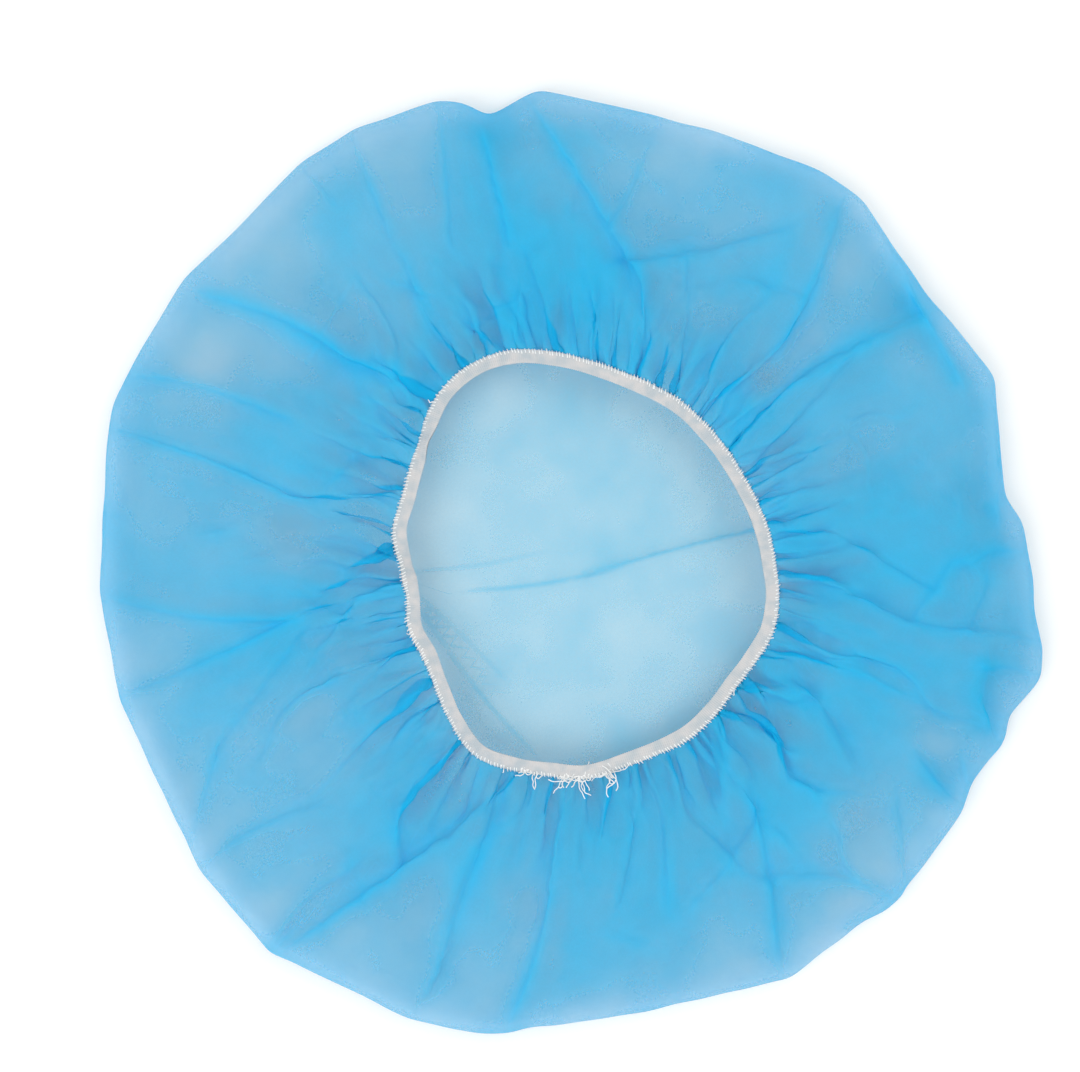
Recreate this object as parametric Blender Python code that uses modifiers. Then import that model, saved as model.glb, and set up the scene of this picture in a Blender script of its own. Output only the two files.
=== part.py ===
"""Bouffant cap: a round piece of nonwoven cloth gathered to a flat elastic, lying on its crown.

The cap lies with its crown down and its mouth up. The cloth starts as a flat disc of rings
and spokes, as it is cut, and each ring is then moved to where it lies: flat under the crown,
rolled over at the outer edge, puffed up and folded in the brim, gathered at the mouth, and
flat again in the hem. Solidify gives the cloth its wall. The elastic is a flat ring on the hem.

Units are metres, +Z up. +X is the right of the cap and +Y is its far side, seen from above.
The origin is the middle of the cap's outline, on the surface it lies on.
"""
from collections import namedtuple
from math import atan2, cos, exp, hypot, pi, radians, sin

import bmesh
import bpy
from mathutils import Vector

# Driving sizes
RIM_RADIUS = 0.1635       # mean radius of the cap's outline as it lies
MOUTH_RADIUS = 0.0668     # mean radius of the elastic's middle line
MOUTH_SHIFT_X = 0.0057    # the mouth's centre from the middle of the cap
MOUTH_SHIFT_Y = -0.0005
CLOTH_WALL = 0.0010       # the cloth's wall; the real cloth is thinner
ROLL_HEIGHT = 0.0055      # the outermost line of the rolled edge, above the crown
ROLL_REACH = 0.0110       # how far inside the outline the crown starts to rise
PUFF_HEIGHT = 0.0240      # top of the brim, above the crown
MOUTH_HEIGHT = 0.0145     # mean height of the hem, above the crown
FOLD_LIFT = 0.0075        # height of the largest folds in the brim
FOLD_REACH = 0.0095       # half width of a fold of ordinary size
GATHER_LIFT = 0.0023      # half the height of a gather next to the hem
BAND_WIDTH = 0.0047       # the elastic, across
BAND_THICKNESS = 0.0012
SEAM_GAP = 0.0003         # clearance between the hem and the elastic
HEM_SETBACK = 0.0003      # the elastic stands this much proud of the hem at the mouth
HEM_MARGIN = 0.0008       # flat cloth outside the elastic, before the gathers start
LEAN_SHARE = 0.6          # how much narrower a fold that leans fully is on its steep side
CORNER_ROUNDING = radians(1.2)

# Pattern of the cloth
GATHERS = 38              # gathers drawn round the mouth
SPOKES_PER_GATHER = 4     # crest, flank, trough, flank
SPOKES = GATHERS * SPOKES_PER_GATHER

# Corners of the outline: angle in degrees from +X, distance as a share of RIM_RADIUS.
Corner = namedtuple("Corner", "angle share")
OUTLINE = [
    Corner(5, 0.964), Corner(8.5, 0.937), Corner(11, 0.939), Corner(23.5, 0.984), Corner(33, 0.958),
    Corner(42, 0.957), Corner(45, 0.962), Corner(51, 0.990), Corner(57, 0.990), Corner(70, 0.967),
    Corner(79, 0.967), Corner(90, 0.991), Corner(94, 1.008), Corner(100.5, 0.964), Corner(103, 1.002),
    Corner(106, 1.023), Corner(116.5, 1.029), Corner(124, 1.025), Corner(132, 1.006), Corner(137, 1.004),
    Corner(143.5, 1.020), Corner(155, 1.021), Corner(161, 1.030), Corner(165, 1.020), Corner(171, 1.002),
    Corner(178, 0.998), Corner(184, 1.005), Corner(188, 0.996), Corner(197, 1.003), Corner(200, 0.995),
    Corner(207, 0.994), Corner(220, 1.025), Corner(228, 1.033), Corner(232.5, 1.047), Corner(236, 1.033),
    Corner(243, 1.022), Corner(251, 1.030), Corner(259, 1.020), Corner(263, 1.007), Corner(265.5, 0.989),
    Corner(273, 0.974), Corner(281, 0.967), Corner(298, 0.999), Corner(301.5, 0.989), Corner(309, 0.986),
    Corner(312.5, 1.003), Corner(324, 0.987), Corner(328, 0.984), Corner(331.5, 0.975), Corner(334.5, 0.980),
    Corner(338, 1.002), Corner(341, 0.990), Corner(346, 1.031), Corner(350, 1.020), Corner(354, 0.991),
    Corner(358, 0.984),
]

# The mouth's line: angle in degrees about the mouth's centre, distance as a share of
# MOUTH_RADIUS, and height as a share of MOUTH_HEIGHT.
Turn = namedtuple("Turn", "angle share height")
MOUTH = [
    Turn(0, 0.934, 1.05), Turn(10, 0.915, 1.09), Turn(20, 0.898, 1.10), Turn(30, 0.890, 1.06),
    Turn(40, 0.898, 1.00), Turn(50, 0.911, 0.96), Turn(60, 0.934, 0.95), Turn(70, 0.948, 0.97),
    Turn(80, 0.972, 1.00), Turn(90, 1.016, 1.04), Turn(100, 1.075, 1.07), Turn(110, 1.134, 1.07),
    Turn(120, 1.157, 1.03), Turn(130, 1.136, 0.96), Turn(140, 1.071, 0.94), Turn(150, 1.011, 1.00),
    Turn(160, 0.980, 1.06), Turn(170, 0.980, 1.07), Turn(180, 0.934, 1.02), Turn(190, 0.912, 0.92),
    Turn(200, 0.943, 0.96), Turn(210, 0.936, 1.08), Turn(220, 0.977, 1.10), Turn(230, 1.047, 1.00),
    Turn(240, 1.110, 0.92), Turn(250, 1.095, 0.92), Turn(260, 1.073, 0.94), Turn(270, 1.069, 0.96),
    Turn(280, 1.029, 1.00), Turn(290, 1.010, 1.03), Turn(300, 1.006, 1.04), Turn(310, 0.984, 1.02),
    Turn(320, 0.961, 0.98), Turn(330, 0.968, 0.95), Turn(340, 0.984, 0.96), Turn(350, 0.967, 1.00),
]

# Rings of the crown and of the rolled edge: distance inside the outline as a share of
# ROLL_REACH, and height as a share of ROLL_HEIGHT.
Roll = namedtuple("Roll", "inset height")
CROWN_RINGS = [Roll(2.0, 0.0), Roll(1.0, 0.0), Roll(0.30, 0.26), Roll(0.0, 1.0)]

# Rings of the brim: share of the way from the outline to the mouth, height as a share of
# the way up to PUFF_HEIGHT from a line between ROLL_HEIGHT and the hem, and how much of
# the gathers shows there.
Brim = namedtuple("Brim", "share height gather")
BRIM_RINGS = [
    Brim(0.012, 0.22, 0.0), Brim(0.055, 0.44, 0.0), Brim(0.13, 0.66, 0.02), Brim(0.23, 0.84, 0.06),
    Brim(0.35, 0.96, 0.12), Brim(0.48, 1.00, 0.22), Brim(0.60, 0.96, 0.38), Brim(0.71, 0.86, 0.60),
    Brim(0.80, 0.70, 0.85), Brim(0.87, 0.50, 1.00), Brim(0.925, 0.30, 0.90),
]

# Main folds of the brim. A fold runs in a straight line between two places, each an angle
# in degrees and a share of the way from the outline to the mouth. reach is its half width
# as a share of FOLD_REACH, lift its height as a share of FOLD_LIFT, minus for a furrow,
# and lean is how far its crest leans over to the left of the line, from -1 to 1.
Fold = namedtuple("Fold", "mouth_angle mouth_share rim_angle rim_share reach lift lean")
FOLDS = [
    Fold(6.5, 0.93, -4.0, 0.42, 0.8, 0.60, 0.4),
    Fold(27.0, 0.50, 19.0, 0.10, 0.9, 0.50, -0.3),
    Fold(29.6, 0.90, 36.0, 0.12, 1.0, 0.75, 0.3),
    Fold(38.8, 0.93, 40.0, 0.50, 0.7, -0.70, 0.0),
    Fold(47.0, 0.85, 52.0, 0.12, 1.0, 0.70, -0.4),
    Fold(58.0, 0.28, 82.0, 0.58, 0.8, 0.55, 0.4),
    Fold(65.0, 0.92, 70.0, 0.55, 0.7, 0.55, 0.3),
    Fold(75.5, 0.92, 81.5, 0.58, 0.7, -0.65, 0.0),
    Fold(83.5, 0.72, 95.0, 0.08, 1.1, 0.80, 0.5),
    Fold(97.5, 0.93, 99.5, 0.62, 0.6, -0.55, 0.0),
    Fold(101.0, 0.85, 101.0, 0.02, 0.9, -0.90, 0.0),
    Fold(109.0, 0.88, 107.5, 0.06, 1.1, 0.80, -0.4),
    Fold(121.5, 0.92, 119.5, 0.15, 0.9, 0.60, 0.3),
    Fold(133.5, 0.90, 144.0, 0.16, 1.0, 0.75, 0.5),
    Fold(153.0, 0.90, 157.0, 0.10, 0.8, -0.45, 0.0),
    Fold(161.0, 0.93, 167.0, 0.64, 0.7, 0.60, 0.4),
    Fold(167.0, 0.66, 163.0, 0.05, 0.8, 0.75, 0.6),
    Fold(176.0, 0.93, 189.0, 0.68, 0.8, 0.65, -0.5),
    Fold(188.0, 0.92, 203.0, 0.60, 0.8, -0.60, 0.0),
    Fold(194.6, 0.64, 214.0, 0.10, 0.9, 0.80, 0.5),
    Fold(218.8, 0.93, 221.5, 0.40, 0.8, -0.60, 0.0),
    Fold(235.0, 0.93, 229.0, 0.20, 1.0, 0.60, 0.3),
    Fold(250.0, 0.93, 234.5, 0.10, 0.9, 0.85, -0.6),
    Fold(264.5, 0.85, 265.0, 0.30, 0.8, -0.65, 0.0),
    Fold(280.0, 0.85, 274.5, 0.30, 0.8, 0.65, -0.4),
    Fold(305.0, 0.62, 287.0, 0.38, 0.9, -0.55, 0.0),
    Fold(312.5, 0.93, 317.0, 0.54, 0.8, -0.80, 0.0),
    Fold(324.0, 0.93, 332.0, 0.62, 1.2, -0.75, 0.0),
    Fold(334.0, 0.93, 340.5, 0.45, 0.9, 0.85, 0.4),
    Fold(356.0, 0.84, 349.5, 0.24, 0.8, -0.75, 0.0),
]

# Finishes
CLOTH_COLOUR = (0.42, 0.73, 0.88, 1.0)
ELASTIC_COLOUR = (0.82, 0.85, 0.87, 1.0)


def eased(low, high, value):
    """0 below low, 1 above high, and a smooth rise between them."""
    share = min(1.0, max(0.0, (value - low) / (high - low)))
    return share * share * (3.0 - 2.0 * share)


def outline_chord(angle):
    """Radius of the outline where straight edges join its corners."""
    for row, after in zip(OUTLINE, OUTLINE[1:] + OUTLINE[:1]):
        start = radians(row.angle)
        span = (radians(after.angle) - start) % (2 * pi)
        past = (angle - start) % (2 * pi)
        if past <= span:
            slant = row.share * sin(past) + after.share * sin(span - past)
            return RIM_RADIUS * row.share * after.share * sin(span) / slant
    return RIM_RADIUS


def outline_radius(angle):
    """Radius of the outline, with its corners rounded a little."""
    sides = [outline_chord(angle + turn * CORNER_ROUNDING) for turn in (-1, 0, 0, 1)]
    return sum(sides) / len(sides)


def mouth_row(angle):
    """Radius and height of the mouth's line, on a smooth curve through the table."""
    count = len(MOUTH)
    for place, row in enumerate(MOUTH):
        after = MOUTH[(place + 1) % count]
        span = radians(after.angle - row.angle) % (2 * pi)
        past = (angle - radians(row.angle)) % (2 * pi)
        if past <= span:
            before = MOUTH[place - 1]
            beyond = MOUTH[(place + 2) % count]
            share = past / span
            radius = smooth_between(before.share, row.share, after.share, beyond.share, share)
            height = smooth_between(before.height, row.height, after.height, beyond.height, share)
            return MOUTH_RADIUS * radius, MOUTH_HEIGHT * height
    return MOUTH_RADIUS, MOUTH_HEIGHT


def smooth_between(before, start, end, beyond, share):
    """A Catmull-Rom curve from start to end."""
    slope_in = (end - before) / 2
    slope_out = (beyond - start) / 2
    cubic = 2 * start - 2 * end + slope_in + slope_out
    square = -3 * start + 3 * end - 2 * slope_in - slope_out
    return ((cubic * share + square) * share + slope_in) * share + start


def outline_point(angle, inset=0.0):
    radius = outline_radius(angle) - inset
    return Vector((radius * cos(angle), radius * sin(angle), 0.0))


def mouth_point(angle, outward=0.0):
    radius = mouth_row(angle)[0] + outward
    return Vector((MOUTH_SHIFT_X + radius * cos(angle), MOUTH_SHIFT_Y + radius * sin(angle), 0.0))


def brim_point(angle, share):
    return outline_point(angle).lerp(mouth_point(angle), share)


def fold_lift(x, y):
    """How far the main folds raise or lower the cloth at one place in the brim."""
    lift = 0.0
    for fold in FOLDS:
        mouth_end = brim_point(radians(fold.mouth_angle), fold.mouth_share)
        rim_end = brim_point(radians(fold.rim_angle), fold.rim_share)
        run = rim_end - mouth_end
        length = hypot(run.x, run.y)
        along = ((x - mouth_end.x) * run.x + (y - mouth_end.y) * run.y) / length
        across = (run.x * (y - mouth_end.y) - run.y * (x - mouth_end.x)) / length
        reach = fold.reach * FOLD_REACH
        side = 1.0 if across > 0 else -1.0
        width = reach * (1.0 - LEAN_SHARE * fold.lean * side)
        past_end = max(0.0, -along, along - length)
        lift += fold.lift * FOLD_LIFT * exp(-(across / width) ** 2 - (past_end / reach) ** 2)
    return lift


def gather_wave(spoke):
    """Height of one gather at a spoke: crest, flank, trough, flank."""
    return cos(2 * pi * spoke / SPOKES_PER_GATHER)


def spun(section, closed):
    """Turn a section of points round Z into a mesh of rings and spokes."""
    mesh = bmesh.new()
    points = [mesh.verts.new((radius, 0.0, height)) for radius, height in section]
    joined = list(zip(points, points[1:]))
    if closed:
        joined.append((points[-1], points[0]))
    for pair in joined:
        mesh.edges.new(pair)
    bmesh.ops.spin(
        mesh, geom=mesh.verts[:] + mesh.edges[:], cent=(0, 0, 0), axis=(0, 0, 1),
        angle=2 * pi, steps=SPOKES)
    bmesh.ops.remove_doubles(mesh, verts=mesh.verts, dist=0.0001)
    return mesh


def spoke_of(vertex):
    """Number of the spoke that a vertex of a spun mesh lies on."""
    return round(atan2(vertex.co.y, vertex.co.x) / (2 * pi) * SPOKES) % SPOKES


def crown_place(row, angle):
    """A vertex of the crown or the rolled edge."""
    point = outline_point(angle, row.inset * ROLL_REACH)
    point.z = CLOTH_WALL / 2 + row.height * ROLL_HEIGHT
    return point


def brim_place(row, spoke, angle):
    """A vertex of the brim: the puffed section, with the folds and gathers on it."""
    point = brim_point(angle, row.share)
    base = ROLL_HEIGHT + row.share * (mouth_row(angle)[1] - ROLL_HEIGHT)
    body = base + row.height * (PUFF_HEIGHT - base)
    to_rim = eased(0.0, BRIM_RINGS[2].share, row.share)
    to_hem = eased(BRIM_RINGS[-3].share, 1.0, row.share)
    folds = fold_lift(point.x, point.y) * to_rim * (1.0 - to_hem)
    gathers = GATHER_LIFT * row.gather * gather_wave(spoke)
    point.z = CLOTH_WALL / 2 + body + folds + gathers
    return point


def hem_place(outward, angle):
    """A vertex of the flat hem that the elastic lies on."""
    point = mouth_point(angle, outward)
    point.z = CLOTH_WALL / 2 + mouth_row(angle)[1]
    return point


def new_object(name, mesh, material, collection):
    """Put a bmesh in a named object with smooth sides."""
    bmesh.ops.recalc_face_normals(mesh, faces=mesh.faces)
    data = bpy.data.meshes.new(name)
    mesh.to_mesh(data)
    mesh.free()
    data.shade_smooth()
    data.set_sharp_from_angle(angle=radians(60))
    data.materials.append(material)
    thing = bpy.data.objects.new(name, data)
    collection.objects.link(thing)
    return thing


def new_material(name, colour, roughness):
    material = bpy.data.materials.new(name)
    material.use_nodes = True
    shader = material.node_tree.nodes["Principled BSDF"]
    shader.inputs["Base Color"].default_value = colour
    shader.inputs["Roughness"].default_value = roughness
    shader.inputs["Metallic"].default_value = 0.0
    return material


def make_cap_body(collection):
    """The cloth: a disc of rings, each moved to where it lies, with its wall added."""
    hem_offsets = [BAND_WIDTH / 2 + HEM_MARGIN, HEM_SETBACK - BAND_WIDTH / 2]
    ring_count = len(CROWN_RINGS) + len(BRIM_RINGS) + len(hem_offsets)
    mesh = spun([(ring, 0.0) for ring in range(ring_count + 1)], closed=False)
    for vertex in mesh.verts:
        ring = round(hypot(vertex.co.x, vertex.co.y)) - 1
        spoke = spoke_of(vertex)
        angle = 2 * pi * spoke / SPOKES
        brim_ring = ring - len(CROWN_RINGS)
        hem_ring = brim_ring - len(BRIM_RINGS)
        if ring < 0:
            vertex.co = Vector((0.0, 0.0, CLOTH_WALL / 2))
        elif brim_ring < 0:
            vertex.co = crown_place(CROWN_RINGS[ring], angle)
        elif hem_ring < 0:
            vertex.co = brim_place(BRIM_RINGS[brim_ring], spoke, angle)
        else:
            vertex.co = hem_place(hem_offsets[hem_ring], angle)
    cloth = new_material("spunbond_nonwoven", CLOTH_COLOUR, 0.85)
    cap = new_object("cap_body", mesh, cloth, collection)
    wall = cap.modifiers.new("cloth_wall", "SOLIDIFY")
    wall.thickness = CLOTH_WALL
    wall.offset = 0.0
    wall.use_even_offset = True
    return cap


def make_elastic_band(collection):
    """The elastic: a flat ring that follows the hem, one seam gap above it."""
    mesh = spun([(1.0, 0.0), (2.0, 0.0), (2.0, 1.0), (1.0, 1.0)], closed=True)
    for vertex in mesh.verts:
        angle = 2 * pi * spoke_of(vertex) / SPOKES
        outer_side = hypot(vertex.co.x, vertex.co.y) > 1.5
        top_side = vertex.co.z > 0.5
        point = mouth_point(angle, BAND_WIDTH / 2 if outer_side else -BAND_WIDTH / 2)
        point.z = mouth_row(angle)[1] + CLOTH_WALL + SEAM_GAP
        point.z += BAND_THICKNESS if top_side else 0.0
        vertex.co = point
    knit = new_material("knitted_elastic", ELASTIC_COLOUR, 0.9)
    return new_object("elastic_band", mesh, knit, collection)


def centre_on_outline(pieces):
    """Move the pieces together, so that the middle of the outline is at the origin."""
    body = pieces[0].data.vertices
    middle_x = (min(v.co.x for v in body) + max(v.co.x for v in body)) / 2
    middle_y = (min(v.co.y for v in body) + max(v.co.y for v in body)) / 2
    for piece in pieces:
        for vertex in piece.data.vertices:
            vertex.co.x -= middle_x
            vertex.co.y -= middle_y


def main():
    for thing in list(bpy.data.objects):
        bpy.data.objects.remove(thing, do_unlink=True)
    collection = bpy.data.collections.new("bouffant_cap")
    bpy.context.scene.collection.children.link(collection)
    cap = make_cap_body(collection)
    band = make_elastic_band(collection)
    centre_on_outline([cap, band])


main()
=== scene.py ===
# %% [markdown]
# # A bouffant cap that lies crown down
# A light disposable cap: one disc of thin blue nonwoven cloth with a flat white elastic sewn
# round its edge. The elastic is stretched while it is sewn, and when it springs back it
# gathers the disc's edge to a mouth a quarter as long. Here the cap lies on its crown with
# the mouth up, seen from straight above. Two things make it look real. The cloth is thin
# enough to see through, so it is darker wherever it lies over itself, and all the cloth of
# the flat disc has to go somewhere, so the brim is full of folds that run to the elastic.

# %% Load the frame
from collections import namedtuple
from math import cos, exp, pi, radians, sin

import bmesh
import bpy
import numpy as np
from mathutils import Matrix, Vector


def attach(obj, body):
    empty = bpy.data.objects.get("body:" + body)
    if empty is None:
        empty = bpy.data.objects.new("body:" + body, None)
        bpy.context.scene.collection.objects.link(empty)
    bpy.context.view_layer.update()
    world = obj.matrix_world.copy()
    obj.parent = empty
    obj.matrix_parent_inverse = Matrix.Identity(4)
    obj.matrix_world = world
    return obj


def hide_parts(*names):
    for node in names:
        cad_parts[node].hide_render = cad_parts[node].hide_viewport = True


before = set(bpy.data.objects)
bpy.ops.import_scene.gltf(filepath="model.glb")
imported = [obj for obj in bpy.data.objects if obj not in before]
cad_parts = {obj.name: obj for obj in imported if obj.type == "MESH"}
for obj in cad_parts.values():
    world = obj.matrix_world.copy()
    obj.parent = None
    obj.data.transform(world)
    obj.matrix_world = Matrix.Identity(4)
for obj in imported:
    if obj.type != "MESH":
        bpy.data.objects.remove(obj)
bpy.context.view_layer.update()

# %% Sizes of the cap
CUT_RADIUS = 0.2665       # half of the 21 inch disc that the cap is cut from
TURN_AT = 0.1655          # how far from the disc's middle the cloth turns over at the outline
OUTLINE_RADIUS = 0.1640   # mean radius of the cap as it lies, before its corners are rounded
MOUTH_RADIUS = 0.0668     # mean radius of the elastic's middle line
MOUTH_X = 0.0057          # the mouth's centre
MOUTH_Y = -0.0005
ROLL_HEIGHT = 0.0055      # the outermost line of the rolled edge, above the floor
ROLL_REACH = 0.0110       # how far inside the outline the crown starts to rise
PUFF_HEIGHT = 0.0240      # top of the brim
MOUTH_HEIGHT = 0.0145     # mean height of the cut edge
HEM_RISE = 0.0013         # from the cut edge's mean height to the underside of the elastic
BAND_WIDTH = 0.0047
BAND_THICKNESS = 0.0010
MM = 0.001
print("cloth from the outline to the cut edge, in mm:", round((CUT_RADIUS - TURN_AT) / MM, 1))

# %% [markdown]
# ## The camera
# The cap was photographed from straight above, so the camera looks straight down. A long lens
# high up keeps the near brim and the crown below it at nearly the same size, as in a catalogue
# picture. Its place comes from where the cap's middle sits in the picture.

# %% Add the camera
PICTURE_WIDTH = 1080               # the photograph, in its own pixels
PICTURE_HEIGHT = 1072
CAP_MIDDLE = (570.5, 562.5)        # where the cap's middle is in it
PIXEL = 0.0003464                  # one of its pixels on the cap, in metres
CAMERA_HEIGHT = 1.5
SENSOR = 36.0

camera_x = (PICTURE_WIDTH / 2 - CAP_MIDDLE[0]) * PIXEL
camera_y = (CAP_MIDDLE[1] - PICTURE_HEIGHT / 2) * PIXEL
bpy.ops.object.select_all(action="DESELECT")
bpy.ops.object.camera_add(location=(camera_x, camera_y, CAMERA_HEIGHT), rotation=(0, 0, 0))
camera = bpy.context.object
camera.data.sensor_width = SENSOR
camera.data.lens = SENSOR * (CAMERA_HEIGHT - ROLL_HEIGHT) / (PICTURE_WIDTH * PIXEL)
camera.data.clip_start = 0.05
camera.data.clip_end = 20
bpy.context.scene.camera = camera
print("lens in mm:", round(camera.data.lens, 1))

# %% [markdown]
# ## Colours and nodes
# Every colour is written as it looks on a screen, in hex, and one function turns it into the
# linear numbers that shaders use. One more function adds a node, sets it and links it, so a
# material reads from top to bottom as a recipe.

# %% Two helpers for materials
def screen_colour(code):
    """A colour written as sRGB hex, as the linear colour that a shader needs."""
    parts = [int(code[i:i + 2], 16) / 255 for i in (0, 2, 4)]
    linear = [p / 12.92 if p <= 0.04045 else ((p + 0.055) / 1.055) ** 2.4 for p in parts]
    return (*linear, 1.0)


def add_node(material, kind, inputs=None, **settings):
    """Adds a node, makes its settings, and sets its inputs or links them to other sockets."""
    tree = material.node_tree
    made = tree.nodes.new("ShaderNode" + kind)
    for name, value in settings.items():
        setattr(made, name, value)
    for name, value in (inputs or {}).items():
        if isinstance(value, bpy.types.NodeSocket):
            tree.links.new(value, made.inputs[name])
        else:
            made.inputs[name].default_value = value
    return made


def new_material(name):
    """A node material with nothing in it yet."""
    material = bpy.data.materials.new(name)
    material.use_nodes = True
    material.node_tree.nodes.clear()
    return material

# %% [markdown]
# ## Floor and light
# The cap lies on a white table. The floor is one large pale plane, bright enough to come out
# white, and it matters to the cap too: its light comes back up through the thin cloth. A
# white sky gives the shadowless look, and one broad soft lamp from the lower left, with a weak
# one from the other side, is just enough to show which way the folds turn.

# %% Lay the floor
FLOOR_SIZE = 6.0

bpy.ops.object.select_all(action="DESELECT")
bpy.ops.mesh.primitive_plane_add(size=FLOOR_SIZE, location=(0, 0, 0))
floor = bpy.context.object
floor.name = "floor"
paper = new_material("matt_white_paper")
paper_skin = add_node(paper, "BsdfPrincipled", {
    "Base Color": screen_colour("fafafa"), "Roughness": 0.85, "Specular IOR Level": 0.0})
add_node(paper, "OutputMaterial", {"Surface": paper_skin.outputs["BSDF"]})
floor.data.materials.append(paper)
print("floor:", FLOOR_SIZE, "m wide, of", paper.name)

# %% Add the light
SKY_STRENGTH = 0.82
SKY_COLOUR = (1.0, 0.99, 0.955, 1.0)   # a little warm, as studio walls are
SOFTBOX_SIZE = 1.6
KEY_PLACE = (-1.0, -0.85, 1.95)
KEY_POWER = 19.0
FILL_PLACE = (1.2, 0.7, 1.9)
FILL_POWER = 10.5

sky = bpy.data.worlds.new("white_studio")
sky.use_nodes = True
sky.node_tree.nodes["Background"].inputs["Color"].default_value = SKY_COLOUR
sky.node_tree.nodes["Background"].inputs["Strength"].default_value = SKY_STRENGTH
bpy.context.scene.world = sky


def add_softbox(name, place, power):
    """A square lamp at place that faces the cap."""
    bpy.ops.object.select_all(action="DESELECT")
    bpy.ops.object.light_add(type="AREA", location=place)
    lamp = bpy.context.object
    lamp.name = name
    lamp.data.size = SOFTBOX_SIZE
    lamp.data.energy = power
    lamp.rotation_euler = Vector(place).to_track_quat("Z", "Y").to_euler()


add_softbox("key_lower_left", KEY_PLACE, KEY_POWER)
add_softbox("fill_right", FILL_PLACE, FILL_POWER)
bpy.context.scene.view_settings.view_transform = "Standard"
rays = bpy.context.scene.cycles
rays.transparent_max_bounces = 10   # hardly any light gets through more layers than this
rays.max_bounces = 4                # in an open, bright scene more bounces hardly show
rays.diffuse_bounces = 2
rays.use_light_tree = False         # two lamps and a sky need none, and it is slower
print("light: a sky of", SKY_STRENGTH, "and lamps of", KEY_POWER, "and", FILL_POWER, "watts")

# %% [markdown]
# ## The shape of the cap as it lies
# Two closed lines give the cap its shape: the outline, where the cloth turns over, and the
# mouth, where the elastic holds it. Both are tables by angle, as shares of a mean radius. The
# outline of such thin cloth is a row of nearly straight runs between soft corners, so it is
# joined by chords whose corners are then rounded. The elastic bends smoothly, so its table is
# joined by a smooth curve.

# %% Tables of the outline and the mouth
Corner = namedtuple("Corner", "angle share")
OUTLINE = [Corner(*row) for row in (
    (5, 0.964), (8.5, 0.937), (11, 0.939), (23.5, 0.984), (33, 0.958), (42, 0.957), (45, 0.962),
    (51, 0.990), (57, 0.990), (70, 0.967), (79, 0.967), (90, 0.991), (94, 1.008), (100.5, 0.964),
    (103, 1.002), (106, 1.023), (116.5, 1.029), (124, 1.025), (132, 1.006), (137, 1.004),
    (143.5, 1.020), (155, 1.021), (161, 1.030), (165, 1.020), (171, 1.002), (178, 0.998), (184, 1.005),
    (188, 0.996), (197, 1.003), (200, 0.995), (207, 0.994), (220, 1.025), (228, 1.033), (232.5, 1.047),
    (236, 1.033), (243, 1.022), (251, 1.030), (259, 1.020), (263, 1.007), (265.5, 0.989), (273, 0.974),
    (281, 0.967), (298, 0.999), (301.5, 0.989), (309, 0.986), (312.5, 1.003), (324, 0.987),
    (328, 0.984), (331.5, 0.975), (334.5, 0.980), (338, 1.002), (341, 0.990), (346, 1.031),
    (350, 1.020), (354, 0.991), (358, 0.984),
)]
Turn = namedtuple("Turn", "angle share height")
MOUTH = [Turn(*row) for row in (
    (0, 0.934, 1.05), (10, 0.915, 1.09), (20, 0.898, 1.10), (30, 0.890, 1.06), (40, 0.898, 1.00),
    (50, 0.911, 0.96), (60, 0.934, 0.95), (70, 0.948, 0.97), (80, 0.972, 1.00), (90, 1.016, 1.04),
    (100, 1.075, 1.07), (110, 1.134, 1.07), (120, 1.157, 1.03), (130, 1.136, 0.96), (140, 1.071, 0.94),
    (150, 1.011, 1.00), (160, 0.980, 1.06), (170, 0.980, 1.07), (180, 0.934, 1.02), (190, 0.912, 0.92),
    (200, 0.943, 0.96), (210, 0.936, 1.08), (220, 0.977, 1.10), (230, 1.047, 1.00), (240, 1.110, 0.92),
    (250, 1.095, 0.92), (260, 1.073, 0.94), (270, 1.069, 0.96), (280, 1.029, 1.00), (290, 1.010, 1.03),
    (300, 1.006, 1.04), (310, 0.984, 1.02), (320, 0.961, 0.98), (330, 0.968, 0.95), (340, 0.984, 0.96),
    (350, 0.967, 1.00),
)]
DEGREES = np.arange(0, 360, 0.25)
CORNER_REACH = 8          # quarter degrees to both sides over which a corner is rounded
CORNER_SIGMA = 3.0        # and the sigma of the rounding, in quarter degrees


def rows_about(angles):
    """For each quarter degree: the rows before and after it, how far it is past the first, and
    how far apart they are."""
    before = np.searchsorted(angles, DEGREES, side="right") - 1
    after = (before + 1) % len(angles)
    past = (DEGREES - angles[before]) % 360
    return before, after, past, (angles[after] - angles[before]) % 360


def joined_by_chords(rows):
    """The outline's share at each quarter degree: straight between corners, then rounded."""
    angles = np.array([row.angle for row in rows], dtype=float)
    shares = np.array([row.share for row in rows])
    before, after, past, span = rows_about(angles)
    past, span = np.radians(past), np.radians(span)
    slant = shares[before] * np.sin(past) + shares[after] * np.sin(span - past)
    chord = shares[before] * shares[after] * np.sin(span) / slant
    weights = np.exp(-0.5 * (np.arange(-CORNER_REACH, CORNER_REACH + 1) / CORNER_SIGMA) ** 2)
    padded = np.concatenate([chord[-CORNER_REACH:], chord, chord[:CORNER_REACH]])
    return np.convolve(padded, weights / weights.sum(), "valid")


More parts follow.
